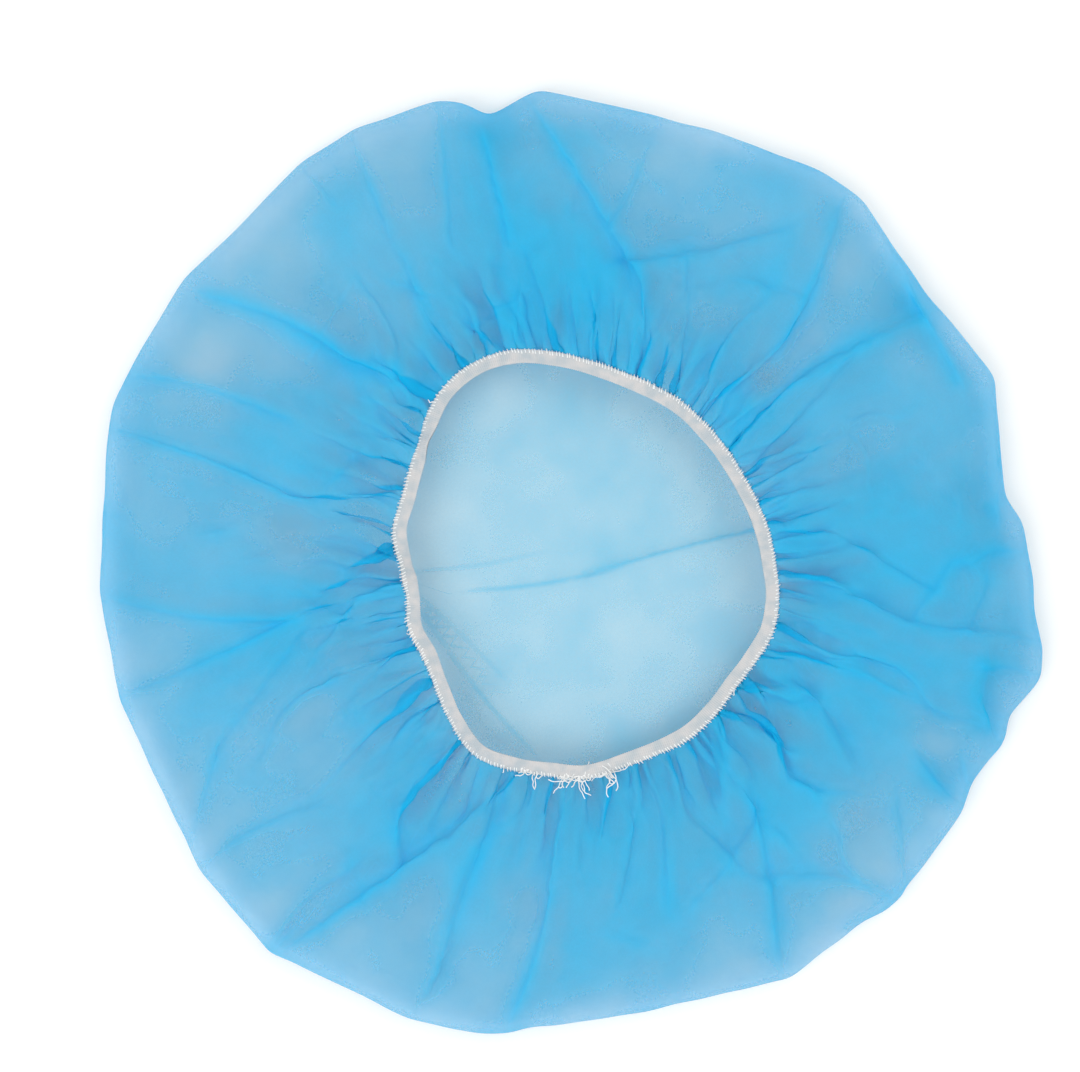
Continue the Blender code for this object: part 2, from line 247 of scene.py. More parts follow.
def joined_smoothly(rows, column):
    """One column of the mouth's table at each quarter degree, on a curve through its rows."""
    values = np.array([getattr(row, column) for row in rows])
    before, after, past, span = rows_about(np.array([row.angle for row in rows], dtype=float))
    t = past / span
    start, end = values[before], values[after]
    start_slope = (end - values[before - 1]) / 2
    end_slope = (values[(after + 1) % len(values)] - start) / 2
    cubic = 2 * start - 2 * end + start_slope + end_slope
    square = 3 * end - 3 * start - 2 * start_slope - end_slope
    return ((cubic * t + square) * t + start_slope) * t + start


outline_share = joined_by_chords(OUTLINE)
mouth_share = joined_smoothly(MOUTH, "share")
mouth_rise = joined_smoothly(MOUTH, "height")


def read_round(table, angle):
    """A quarter-degree table at any angles, in radians."""
    return np.interp(np.degrees(angle) % 360, np.append(DEGREES, 360), np.append(table, table[0]))


def outline_point(angle):
    """The outline, in plan."""
    radius = OUTLINE_RADIUS * read_round(outline_share, angle)
    return np.stack([radius * np.cos(angle), radius * np.sin(angle)], axis=-1)


def mouth_point(angle, outward=0.0):
    """The elastic's middle line in plan, or a line beside it."""
    radius = MOUTH_RADIUS * read_round(mouth_share, angle) + outward
    return np.stack([MOUTH_X + radius * np.cos(angle), MOUTH_Y + radius * np.sin(angle)], axis=-1)


def mouth_height(angle):
    """Height of the cut edge."""
    return MOUTH_HEIGHT * read_round(mouth_rise, angle)


mouth_line = mouth_point(np.radians(DEGREES))
mouth_length = np.linalg.norm(np.roll(mouth_line, -1, axis=0) - mouth_line, axis=1).sum()
print("elastic in mm:", round(mouth_length / MM, 1), "cut edge in mm:", round(2 * pi * CUT_RADIUS / MM))

# %% [markdown]
# ## The cut disc
# A real cap starts as a flat disc, and so does this one, because everything later needs to
# know where on the disc a point was: the simulation, so that the cloth keeps its length, and
# the material, so that its web follows the cloth. The crown is a grid filled into a circle of
# edges, which avoids the fan of thin triangles that a plain disc has in its middle. The brim
# needs twice as many spokes, so it is a second circle pushed outwards ring by ring, with the
# rings closer near the elastic where the gathers are fine, and the two are bridged.

# %% Draw the disc with edit-mode tools
CROWN_SPOKES = 336
BRIM_SPOKES = 480
CROWN_EDGE = 0.1440
BRIM_START = 0.1490
GATHERS_START = 0.2400
ROLL_RINGS = 5            # rings of the brim: those of the rolled edge
OPEN_RINGS = 20           # of the open cloth
GATHER_RINGS = 10         # and of the gathers
BRIM_RINGS = np.concatenate([
    np.linspace(BRIM_START, TURN_AT, ROLL_RINGS + 1)[1:],
    np.linspace(TURN_AT, GATHERS_START, OPEN_RINGS + 1)[1:],
    np.linspace(GATHERS_START, CUT_RADIUS, GATHER_RINGS + 1)[1:],
])
SAME_RING = 0.00002       # vertices this close to a ring's radius are on it
CUT_AREA = pi * CUT_RADIUS ** 2


def read_rows(items, name, columns, kind=float):
    """One property of every item of a mesh, as rows."""
    values = np.empty(len(items) * columns, dtype=kind)
    items.foreach_get(name, values)
    return values.reshape(-1, columns)


def vertex_places(mesh):
    """The vertices' places, as rows."""
    return read_rows(mesh.vertices, "co", 3)


def write_places(mesh, place):
    """Moves the vertices to the rows of place."""
    mesh.vertices.foreach_set("co", np.ascontiguousarray(place, dtype=float).ravel())
    mesh.update()


def reach_and_angle(points):
    """How far from the middle each point is in plan, and in which direction."""
    return np.hypot(points[:, 0], points[:, 1]), np.arctan2(points[:, 1], points[:, 0])


def select_ring(mesh, radius):
    """Selects the vertices that lie at one distance from the middle, and nothing else."""
    reach, _ = reach_and_angle(vertex_places(mesh))
    chosen = np.abs(reach - radius) < SAME_RING
    mesh.polygons.foreach_set("select", np.zeros(len(mesh.polygons), dtype=bool))
    mesh.edges.foreach_set("select", np.zeros(len(mesh.edges), dtype=bool))
    mesh.vertices.foreach_set("select", chosen)


bpy.ops.object.select_all(action="DESELECT")
bpy.ops.mesh.primitive_circle_add(vertices=CROWN_SPOKES, radius=CROWN_EDGE, fill_type="NOTHING")
cloth = bpy.context.object
cloth.name = "cap_cloth"
bpy.ops.object.mode_set(mode="EDIT")
bpy.ops.mesh.select_mode(type="VERT")
bpy.ops.mesh.primitive_circle_add(vertices=BRIM_SPOKES, radius=BRIM_START, fill_type="NOTHING")
bpy.ops.mesh.select_all(action="SELECT")
bpy.ops.mesh.bridge_edge_loops()
bpy.ops.object.mode_set(mode="OBJECT")
select_ring(cloth.data, CROWN_EDGE)
bpy.ops.object.mode_set(mode="EDIT")
bpy.ops.mesh.fill_grid(span=CROWN_SPOKES // 4)
bpy.ops.object.mode_set(mode="OBJECT")
select_ring(cloth.data, BRIM_START)
bpy.ops.object.mode_set(mode="EDIT")
reach = BRIM_START
for radius in BRIM_RINGS:
    bpy.ops.mesh.extrude_edges_move()
    bpy.ops.transform.resize(value=(radius / reach, radius / reach, 1))
    reach = radius
bpy.ops.mesh.select_all(action="SELECT")
bpy.ops.mesh.normals_make_consistent(inside=False)
bpy.ops.object.mode_set(mode="OBJECT")
disc_area = sum(face.area for face in cloth.data.polygons)
print("disc:", len(cloth.data.polygons), "faces,", round(disc_area, 4), "m2, of", round(CUT_AREA, 4))

# %% Put the disc in a fixed order
# extruding starts every ring at another spoke in each run, and from another order of points the
# cloth would settle a little differently, so they are numbered anew by ring and spoke
ORDER_DECIMALS = 6        # places are compared to a thousandth of a millimetre


def exact_places(mesh):
    """The vertices' places, with those of the brim put exactly on their ring and spoke."""
    place = vertex_places(mesh)
    reach, angle = reach_and_angle(place)
    rings = np.concatenate([[BRIM_START], BRIM_RINGS])
    on_brim = reach > BRIM_START - SAME_RING
    ring = rings[np.abs(reach[on_brim, None] - rings).argmin(axis=1)]
    spoke = np.round(angle[on_brim] * BRIM_SPOKES / (2 * pi)) % BRIM_SPOKES
    turn = 2 * pi * spoke / BRIM_SPOKES
    place[on_brim] = np.column_stack([ring * np.cos(turn), ring * np.sin(turn), 0 * ring])
    return place


def put_in_order(mesh):
    """Numbers the vertices, edges and faces of the flat disc anew, by their places."""
    place = exact_places(mesh)
    rough = place.round(ORDER_DECIMALS)
    order = np.lexsort((rough[:, 1], rough[:, 0]))
    number = np.argsort(order).tolist()
    faces = []
    for face in mesh.polygons:
        corners = [number[corner] for corner in face.vertices]
        first = corners.index(min(corners))
        faces.append(corners[first:] + corners[:first])
    ordered = bmesh.new()
    points = [ordered.verts.new(spot) for spot in place[order].tolist()]
    for corners in sorted(faces):
        ordered.faces.new([points[corner] for corner in corners])
    ordered.to_mesh(mesh)
    ordered.free()


put_in_order(cloth.data)
print("in order:", len(cloth.data.vertices), "vertices,", len(cloth.data.polygons), "faces")

# %% Note where each point is on the flat cloth
UV_SPAN = 0.540   # the cloth's UV map is a square of this side, so that it holds the whole disc

flat = vertex_places(cloth.data)
corners = read_rows(cloth.data.loops, "vertex_index", 1, kind=np.int64).ravel()
while cloth.data.uv_layers:
    cloth.data.uv_layers.remove(cloth.data.uv_layers[0])
cut_map = cloth.data.uv_layers.new(name="cut")
cut_map.data.foreach_set("uv", (flat[corners, :2] / UV_SPAN + 0.5).ravel())
print("cut map:", len(corners), "corners on a square of", UV_SPAN / MM, "mm")

# %% [markdown]
# ## Laying the cloth with its folds
# First the disc is laid as smoothly as it can go: the crown flat on the floor, the edge
# rolled over at the outline, and the brim domed up and in to the mouth. Then come the long
# folds. Each one is a slightly bowed line on the brim, charted in the photograph. Pushing the
# cloth sideways towards that line from both sides, and one side up and the other down, slides
# one flank over the other, as in a real fold. They are only begun here, and grow to their full
# depth once the cloth has settled. Last come the gathers, which are finest at the elastic and
# merge into wider ones on their way out.

# %% Table of the folds
Fold = namedtuple("Fold", "x0 y0 xm ym x1 y1 width width_end slide slide_end dense side")


def on_cap(x, y):
    """A place in the photograph, in its pixels, as a place on the cap, in millimetres."""
    return (x - CAP_MIDDLE[0]) * PIXEL / MM, (CAP_MIDDLE[1] - y) * PIXEL / MM


def laid_on_cap(seen):
    """Rows charted in the photograph, as folds whose three points are places on the cap."""
    return [Fold(*on_cap(*row[0:2]), *on_cap(*row[2:4]), *on_cap(*row[4:6]), *row[6:]) for row in seen]


# a fold's line by its start, a point on the way and its end, charted in the photograph's
# pixels; its width at both ends, in millimetres; how far its flanks slide over each other there,
# in sigmas of the push; how much denser the puckers are along it; which flank is on top
FOLDS = laid_on_cap([
    (639, 372, 643, 312, 626, 262, 3, 3.5, 1.3, 1.2, 0.25, 1),
    (626, 262, 590, 200, 532, 108, 4, 3, 1.2, 1, 0.3, 1),
    (612, 224, 630, 192, 643, 160, 2.5, 2.5, 0.9, 0.6, 0.1, -1),
    (626, 264, 695, 254, 775, 233, 4, 4, 1.1, 0.7, 0.3, 1),
    (672, 386, 683, 340, 685, 268, 3, 2, 1.2, 0.8, 0.15, -1),
    (712, 368, 727, 340, 760, 306, 2, 2, 0.9, 0.6, 0.05, 1),
    (726, 392, 766, 360, 788, 332, 5, 6, 1.2, 1.3, 0.3, -1),
    (788, 332, 814, 280, 836, 212, 6.5, 5, 1.3, 0.8, 0.35, -1),
    (744, 284, 772, 290, 800, 300, 2, 2, 0.8, 0.8, 0.1, 1),
    (728, 452, 760, 416, 792, 384, 3.5, 4, 1.5, 1.2, 0.3, 1),
    (792, 384, 850, 350, 916, 318, 5, 8, 0.9, 0.8, 0.35, 1),
    (752, 467, 800, 412, 846, 367, 2.5, 2.5, 1.1, 0.7, 0.05, -1),
    (952, 374, 938, 346, 914, 306, 4, 7, 0.7, 1.2, 0.4, 1),
    (894, 258, 908, 282, 916, 306, 5, 7, 0.5, 0.8, 0.3, -1),
    (852, 421, 868, 415, 890, 419, 2, 2, 0.7, 0.7, 0.05, 1),
    (845, 434, 860, 450, 864, 484, 2, 2, 0.7, 0.7, 0.05, 1),
    (778, 462, 822, 446, 852, 430, 2, 2, 0.9, 0.6, 0.05, -1),
    # a fold along the rim: the fold is drawn in the cloth, and its extra density is painted shadow beside
    # the rim
    (994, 506, 996, 440, 990, 400, 5, 4, 0.7, 0.7, 0.4, 1),
    (786, 531, 822, 533, 862, 550, 2.5, 2.5, 1.1, 1.1, 0.1, 1),
    (862, 550, 890, 567, 924, 586, 2.5, 2.5, 1.1, 0.9, 0.1, 1),
    (968, 562, 985, 552, 1012, 552, 4, 4, 0.6, 0.6, 0.25, -1),
    (507, 236, 495, 188, 486, 146, 3, 4, 0.9, 1.2, 0.2, 1),
    (451, 236, 446, 170, 438, 103, 3, 2.5, 0.8, 0.7, 0.1, -1),
    (386, 226, 372, 190, 355, 146, 3, 3, 0.8, 0.6, 0.15, 1),
    (328, 198, 318, 186, 310, 178, 2, 2, 0.8, 0.8, 0.1, -1),
    (438, 399, 400, 378, 350, 361, 5, 6, 1.2, 1, 0.5, 1),
    (350, 361, 290, 326, 214, 299, 7, 5, 1.2, 0.9, 0.6, 1),
    (316, 352, 334, 320, 350, 291, 2, 2, 0.8, 0.6, 0.05, -1),
    (399, 366, 392, 330, 364, 289, 2.5, 2.5, 1, 0.9, 0.15, -1),
    (466, 366, 436, 332, 408, 268, 3.5, 3, 1.4, 1.2, 0.3, 1),
    (424, 296, 412, 290, 398, 287, 2.5, 2.5, 1, 0.8, 0.15, 1),
    (500, 348, 482, 338, 464, 326, 2.5, 2, 1.1, 0.9, 0.15, -1),
    (480, 326, 500, 311, 522, 295, 2, 2, 1, 0.9, 0.1, 1),
    (526, 318, 525, 306, 522, 295, 2, 2, 1, 1, 0.1, -1),
    (562, 350, 545, 318, 528, 262, 3, 2.5, 1.3, 0.9, 0.2, 1),
    (430, 417, 400, 408, 372, 403, 2.5, 2, 1.1, 0.8, 0.1, -1),
    (278, 416, 210, 391, 138, 376, 3, 5, 0.7, 0.8, 0.3, 1),
    (296, 496, 210, 460, 114, 430, 3, 4, 1.1, 1, 0.3, -1),
    (400, 491, 350, 498, 296, 497, 3.5, 3, 1.4, 1.2, 0.3, -1),
    (408, 466, 384, 459, 358, 461, 3, 2, 1.4, 1, 0.2, 1),
    (334, 482, 346, 470, 360, 456, 2.5, 2, 1.1, 1, 0.15, 1),
    (108, 452, 104, 520, 108, 590, 7, 7, 0.3, 0.3, 0.1, 1),
    (396, 546, 366, 564, 326, 598, 7, 4, 1.5, 1, 0.3, 1),
    (408, 584, 380, 589, 346, 610, 4, 3, 1.4, 1.1, 0.3, -1),
    (346, 617, 329, 638, 310, 668, 2.5, 2.5, 1.2, 1, 0.15, -1),
    (290, 619, 215, 618, 110, 596, 3, 5, 0.8, 0.8, 0.3, 1),
    (282, 625, 226, 652, 122, 696, 3, 4, 0.8, 0.7, 0.25, -1),
    (304, 632, 262, 690, 222, 745, 3, 4, 0.6, 0.7, 0.1, 1),
    (222, 745, 206, 795, 195, 830, 4, 4, 0.8, 0.6, 0.25, 1),
    (408, 650, 368, 664, 326, 683, 3.5, 3.5, 1.2, 1.1, 0.2, -1),
    (326, 683, 286, 710, 268, 750, 4, 3, 1.2, 0.8, 0.25, -1),
    (432, 676, 400, 710, 368, 738, 3.5, 2.5, 1.5, 1.1, 0.3, 1),
    (368, 738, 346, 762, 326, 784, 2.5, 2.5, 0.9, 0.6, 0.05, 1),
    (438, 704, 414, 716, 395, 742, 2.5, 2.5, 1.3, 0.9, 0.2, -1),
    (458, 744, 432, 770, 412, 792, 5, 4.5, 1.4, 1.2, 0.25, 1),
    (412, 792, 403, 822, 399, 854, 4, 4, 1.1, 0.9, 0.2, 1),
    (516, 774, 470, 812, 408, 860, 3.5, 4.5, 1.4, 1.2, 0.25, -1),
    (408, 860, 350, 900, 284, 948, 5, 8, 1.2, 1, 0.35, -1),
    (349, 868, 310, 895, 272, 945, 5, 4, 0.7, 0.8, 0.2, 1),
    (312, 806, 258, 826, 210, 860, 5, 3.5, 0.6, 0.8, 0.25, -1),
    (492, 824, 462, 890, 442, 962, 5, 8, 0.9, 0.9, 0.3, 1),
    (442, 962, 434, 980, 422, 996, 6, 4, 0.7, 0.7, 0.2, 1),
    (561, 812, 552, 850, 546, 904, 3, 4, 1.2, 1.2, 0.25, -1),
    (546, 904, 535, 950, 514, 1008, 4, 6, 1.1, 0.8, 0.3, -1),
    (914, 610, 928, 592, 945, 567, 3, 5, 1, 0.9, 0.25, 1),
    (971, 612, 979, 594, 983, 566, 4, 4, 1, 0.9, 0.3, -1),
    (795, 575, 830, 584, 862, 599, 3, 4.5, 1.4, 1.3, 0.25, 1),
    (862, 599, 905, 620, 965, 628, 4, 4, 1.2, 0.9, 0.3, 1),
    (965, 628, 995, 632, 1036, 643, 4, 4, 0.7, 0.5, 0.15, 1),
    (780, 629, 825, 651, 862, 657, 3, 3, 1.3, 1.1, 0.2, -1),
    (862, 657, 900, 672, 925, 704, 3, 3, 1.1, 0.8, 0.15, -1),
    (925, 704, 942, 714, 962, 718, 3, 3, 0.8, 0.7, 0.15, -1),
    (761, 655, 820, 660, 894, 690, 3, 3, 1.4, 1, 0.2, 1),
    (745, 684, 776, 683, 808, 688, 4, 4, 1.5, 1.3, 0.4, 1),
    (756, 694, 782, 700, 808, 702, 4, 4, 1.4, 1.2, 0.35, -1),
    (810, 694, 828, 720, 846, 752, 5, 6, 1.1, 0.8, 0.25, 1),
    (722, 712, 754, 720, 777, 742, 4, 5.5, 1.5, 1.5, 0.35, 1),
    (777, 742, 782, 766, 806, 783, 5.5, 3.5, 1.5, 1.1, 0.35, 1),
    (806, 783, 824, 789, 846, 790, 3, 3, 0.9, 0.7, 0.15, 1),
    (717, 748, 718, 764, 720, 780, 5, 5, 1, 0.8, 0.3, -1),
    (744, 787, 754, 808, 778, 832, 4, 5, 0.9, 0.8, 0.25, 1),
    (752, 814, 738, 844, 694, 899, 3.5, 2.5, 1.2, 0.7, 0.15, -1),
    (753, 812, 766, 868, 779, 966, 3, 7, 0.9, 1.1, 0.3, 1),
    (702, 825, 714, 836, 726, 849, 2, 2, 0.9, 0.9, 0.1, 1),
    (631, 826, 626, 862, 619, 896, 3, 3, 1.1, 0.9, 0.2, 1),
    (662, 829, 665, 860, 666, 890, 3, 4, 0.8, 0.9, 0.2, -1),
    (602, 812, 600, 824, 598, 838, 3, 3, 1, 0.8, 0.15, 1),
    (894, 804, 899, 848, 903, 884, 2.5, 3, 1, 1, 0.15, 1),
    (837, 836, 841, 860, 853, 872, 3, 3, 0.8, 0.8, 0.15, -1),
    (768, 876, 815, 873, 895, 899, 5, 5, 0.6, 0.6, 0.2, 1),
    (983, 670, 979, 692, 984, 716, 6, 8, 0.8, 1.2, 0.45, 1),
    (984, 716, 992, 730, 999, 742, 5, 4, 1.1, 0.8, 0.4, 1),
    (987, 668, 1004, 667, 1024, 673, 4, 4, 0.8, 0.6, 0.3, -1),
    (928, 770, 940, 785, 954, 800, 6, 5, 1, 1.1, 0.5, 1),
    (962, 770, 965, 780, 968, 792, 4, 4, 0.8, 0.8, 0.3, -1),
    (852, 922, 874, 912, 892, 902, 4, 4, 0.7, 0.7, 0.35, 1),
])
FOLD_SIGMA = 1.48         # a fold's width over the sigma of its push
FOLD_REACH = 0.025        # a fold moves nothing this far past its ends, or twice as far beside it
FOLD_LIFT = 0.55          # how far one flank lies above the other, over the fold's width
FOLD_FADE = 0.003         # how far past its ends a fold dies away, besides 1.2 of its sigmas
FOLD_WANES = 0.35         # how much weaker it is at its far end
RIDGE_SHARPNESS = 1.6     # how fast a fold's ridge falls off, per sigma
print("folds charted:", len(FOLDS))

# %% Lay the crown and the brim
EDGE_INSET = 0.0016       # the cut edge lies under the elastic, this far inside its middle line
UNDERSIDE = 0.0006        # the crown's cloth above the floor
ROLL_CURVE = 2.2          # the power by which the crown rises to the rolled edge
FIRST_SLIDE = 0.25        # share of the folds' slide that is laid before the cloth settles
SEED = 3                  # the same random numbers come in every run
# the dome's section: places between the outline and the cut edge, and how high it is there
PUFF_SHARES = [0, 0.012, 0.055, 0.13, 0.23, 0.35, 0.48, 0.60, 0.71, 0.80, 0.87, 0.925, 1.0]
PUFF_LEVELS = [0, 0.22, 0.44, 0.66, 0.84, 0.96, 1.0, 0.96, 0.86, 0.70, 0.50, 0.30, 0.0]


def eased(low, high, value):
    """0 below low, 1 above high, and a smooth step between."""
    share = np.clip((value - low) / (high - low), 0, 1)
    return share * share * (3 - 2 * share)


def brim_point(angle, share):
    """A point of the brim in plan: share 0 on the outline, 1 at the cut edge."""
    share = np.asarray(share)[..., None]
    return outline_point(angle) * (1 - share) + mouth_point(angle, -EDGE_INSET) * share


def brim_height(angle, share):
    """The brim's height without folds: a dome between the rolled edge and the mouth."""
    base = ROLL_HEIGHT + share * (mouth_height(angle) - ROLL_HEIGHT)
    return base + np.interp(share, PUFF_SHARES, PUFF_LEVELS) * (PUFF_HEIGHT - base)


def beside_fold(plan, fold):
    """The points near a fold, how far along it and, in sigmas, off its line they are, the sigma
    there, how much of the push is left there, and the direction across the fold."""
    start, way, end = (np.array(pair) * MM for pair in (fold[0:2], fold[2:4], fold[4:6]))
    length = np.linalg.norm(end - start)
    along = (end - start) / length
    side = np.array([-along[1], along[0]])
    run = (plan - start) @ along
    off = (plan - start) @ side
    beside = np.abs(off) < 2 * FOLD_REACH
    near = np.flatnonzero((run > -FOLD_REACH) & (run < length + FOLD_REACH) & beside)
    run, off = run[near], off[near]
    share = np.clip(run / length, 0, 1)
    way_share = (way - start) @ along / length
    bow = (way - start) @ side / (way_share * (1 - way_share))
    sigma = (fold.width + (fold.width_end - fold.width) * share) * MM / FOLD_SIGMA
    past = np.maximum(0, np.maximum(-run, run - length))
    fade = np.exp(-(past / (1.2 * sigma + FOLD_FADE)) ** 2) * (1 - FOLD_WANES * share ** 3)
    return near, share, (off - bow * share * (1 - share)) / sigma, sigma, fade, side


def fold_over(plan, height, folds, allowed, slid=1.0, lifted=1.0, pinched=0.0):
    """Slides the cloth over itself along every fold, tilts it there and pinches a sharp ridge."""
    slide = np.zeros_like(plan)
    raised = np.zeros_like(height)
    for fold in folds:
        near, share, off, sigma, fade, side = beside_fold(plan, fold)
        push = off * np.exp(0.5 - 0.5 * off ** 2) * fade
        strength = slid * (fold.slide + (fold.slide_end - fold.slide) * share)
        lift = FOLD_LIFT * sigma * FOLD_SIGMA
        slide[near] -= (strength * sigma * push)[:, None] * side
        raised[near] -= 0.5 * lifted * fold.side * lift * push
        raised[near] += pinched * lift * np.exp(-RIDGE_SHARPNESS * np.abs(off)) * fade
    return plan + slide * allowed[:, None], height + raised * allowed


Gather = namedtuple("Gather", "count weight start full")
# how many go round, how high, and the shares of the brim where they start and are full
GATHERS = [
    Gather(120, 1.2, 0.80, 0.97), Gather(83, 1.3, 0.66, 0.90), Gather(53, 1.4, 0.45, 0.80),
    Gather(31, 1.5, 0.20, 0.60), Gather(19, 1.3, 0.08, 0.40),
]
GATHER_HEIGHT = 0.0011


def gather_up(angle, share, phases):
    """How much the gathers lift the brim. Each set drifts in phase and fades in and out."""
    lift = np.zeros_like(angle)
    for gather, (a, b, c) in zip(GATHERS, phases):
        # a few slow waves round the cap keep each set from looking regular
        drift = 1.1 * np.sin(3 * angle + a) + 0.8 * np.sin(7 * angle + b)
        drift = drift + 1.5 * share * np.sin(5 * angle + c)
        strength = 0.65 + 0.35 * np.sin(9 * angle + 2 * b)
        grown = eased(gather.start, gather.full, share)
        lift += gather.weight * strength * grown * np.sin(gather.count * angle + drift)
    return GATHER_HEIGHT * lift * (1 - 0.5 * eased(0.985, 1.0, share))


def lay_cloth(flat, phases):
    """Where each point of the flat disc lies before the cloth has settled."""
    reach, angle = reach_and_angle(flat)
    share = np.clip((reach - TURN_AT) / (CUT_RADIUS - TURN_AT), 0, 1)
    on_crown = reach < TURN_AT
    crown_plan = outline_point(angle) * (reach / TURN_AT)[:, None]
    rising = np.clip(1 - (TURN_AT - reach) / ROLL_REACH, 0, 1)
    crown_height = ROLL_HEIGHT * rising ** ROLL_CURVE
    # no fold moves the outline or the cut edge
    allowed = eased(0.0, 0.12, share) * (1 - eased(0.97, 1.0, share))
    smooth_plan, smooth_height = brim_point(angle, share), brim_height(angle, share)
    brim_plan, height = fold_over(smooth_plan, smooth_height, FOLDS, allowed, slid=FIRST_SLIDE)
    height += gather_up(angle, share, phases) * ~on_crown
    plan = np.where(on_crown[:, None], crown_plan, brim_plan)
    height = np.where(on_crown, crown_height, height)
    return np.column_stack([plan, np.maximum(height, 0) + UNDERSIDE]), share


random = np.random.default_rng(SEED)
gather_phases = random.uniform(0, 2 * pi, (len(GATHERS), 3))
laid, brim_share = lay_cloth(flat, gather_phases)
print("laid height in mm:", round(laid[:, 2].min() / MM, 2), "to", round(laid[:, 2].max() / MM, 2))

# %% [markdown]
# ## Letting the cloth settle
# Laid like this, the brim has less length round than the disc had, most of all near the
# elastic. A short cloth simulation gives it back: its rest shape is the flat disc, so each
# narrow strip of brim wants to be as wide as it was cut, and it can only get there by
# buckling. That draws folds no table could. The crown and the cut edge are pinned, the rest is
# held softly to its place, and a few frames are enough.

# %% Simulate
SETTLE_FRAMES = 18
MOST_MOVED = 0.009        # no point settles further than this from where it was laid
SOFT_PIN = 0.02           # how firmly the open brim is held to where it was laid
EDGE_PIN = 0.8            # and how much more firmly the rolled edge is
ON_EDGE = 0.0001          # points this close to the outline or the cut edge are on it


def settle(cloth, laid, flat, share):
    """Runs the cloth from where it is laid towards the size it was cut to, and returns its places."""
    write_places(cloth.data, laid)
    cloth.shape_key_add(name="laid")
    cut = cloth.shape_key_add(name="cut")
    cut.data.foreach_set("co", flat.ravel())
    cut.value = 0
    held = cloth.vertex_groups.new(name="held")
    reach, _ = reach_and_angle(flat)
    firmness = SOFT_PIN + EDGE_PIN * (1 - eased(0.0, 0.15, share))
    pinned = (reach < TURN_AT - ON_EDGE) | (reach > CUT_RADIUS - ON_EDGE)
    firmness = np.where(pinned, 1.0, firmness).round(3)
    for level in np.unique(firmness):
        members = np.flatnonzero(firmness == level)
        held.add(members.tolist(), float(level), "REPLACE")
    modifier = cloth.modifiers.new("settle", "CLOTH")
    fabric = modifier.settings
    fabric.quality = 5
    fabric.mass = 0.02
    fabric.tension_stiffness = 6
    fabric.compression_stiffness = 6
    fabric.shear_stiffness = 3
    fabric.bending_stiffness = 0.01
    fabric.tension_damping = 2
    fabric.compression_damping = 2
    fabric.shear_damping = 2
    fabric.bending_damping = 0.5
    fabric.air_damping = 4
    fabric.vertex_group_mass = "held"
    fabric.pin_stiffness = 3
    fabric.rest_shape_key = cut
    fabric.effector_weights.gravity = 0.1
    modifier.collision_settings.use_collision = False
    modifier.collision_settings.use_self_collision = False
    modifier.point_cache.frame_start = 1
    modifier.point_cache.frame_end = SETTLE_FRAMES + 1
    scene = bpy.context.scene
    for step in range(1, SETTLE_FRAMES + 1):
        scene.frame_set(step)
    seen = cloth.evaluated_get(bpy.context.evaluated_depsgraph_get())
    settled = vertex_places(seen.data)
    cloth.modifiers.remove(modifier)
    cloth.shape_key_clear()
    cloth.vertex_groups.clear()
    scene.frame_set(1)
    move = settled - laid
    size = np.linalg.norm(move, axis=1, keepdims=True)
    print("settling moved it by", round(size.mean() / MM, 2), "mm, at most", round(size.max() / MM, 1))
    return laid + move * np.minimum(1, MOST_MOVED / np.maximum(size, 1e-9))


settled = settle(cloth, laid, flat, brim_share)
settled[:, 2] = np.maximum(settled[:, 2], UNDERSIDE)
write_places(cloth.data, settled)

# %% [markdown]
# ## Folds in full, and fine gathers
# The simulation works on cloth with points 3 mm apart, too coarse for the gathers next to the
# stitching, which come every 3 to 4 mm. So the cloth is subdivided once, and the fine shapes
# are drawn on it afterwards. First come the folds: short ones that fan out from the elastic,
# faint creases such as all thin cloth has, and the charted folds once more, in full. Then the
# gathers are drawn along the cloth's normals. They also lean over a little to one side or the
# other, so that they lie partly over each other, which makes gathered cloth darker.

# %% Subdivide the cloth
bpy.ops.object.select_all(action="DESELECT")
cloth.select_set(True)
bpy.context.view_layer.objects.active = cloth
finer = cloth.modifiers.new("finer", "SUBSURF")
finer.levels = 1
finer.render_levels = 1
bpy.ops.object.modifier_apply(modifier="finer")
bpy.ops.object.shade_smooth()


def flat_places(mesh):
    """Where each vertex was on the flat disc, read from the cloth's own map."""
    corners = read_rows(mesh.loops, "vertex_index", 1, kind=np.int64).ravel()
    place = np.zeros((len(mesh.vertices), 2))
    place[corners] = (read_rows(mesh.uv_layers["cut"].data, "uv", 2) - 0.5) * UV_SPAN
    return place


flat = flat_places(cloth.data)
reach, angle = reach_and_angle(flat)
brim_share = (reach - TURN_AT) / (CUT_RADIUS - TURN_AT)
print("finer cloth:", len(cloth.data.vertices), "vertices,", 2 * len(cloth.data.polygons), "triangles")

# %% Chart the small folds
SMALL_FOLDS = 112
LOOSE_CREASES = 26
SLIDE_LEFT = 0.7          # share of a small fold's slide that is left at its far end


def fold_between(start, end, bow, width, width_end, slide, dense, side):
    """A fold between two points in plan, bowed to one side by a share of its length."""
    way = (start + end) / 2 + bow * np.array([start[1] - end[1], end[0] - start[0]])
    line = (*(start / MM), *(way / MM), *(end / MM))
    return Fold(*line, width, width_end, slide, SLIDE_LEFT * slide, dense, side)


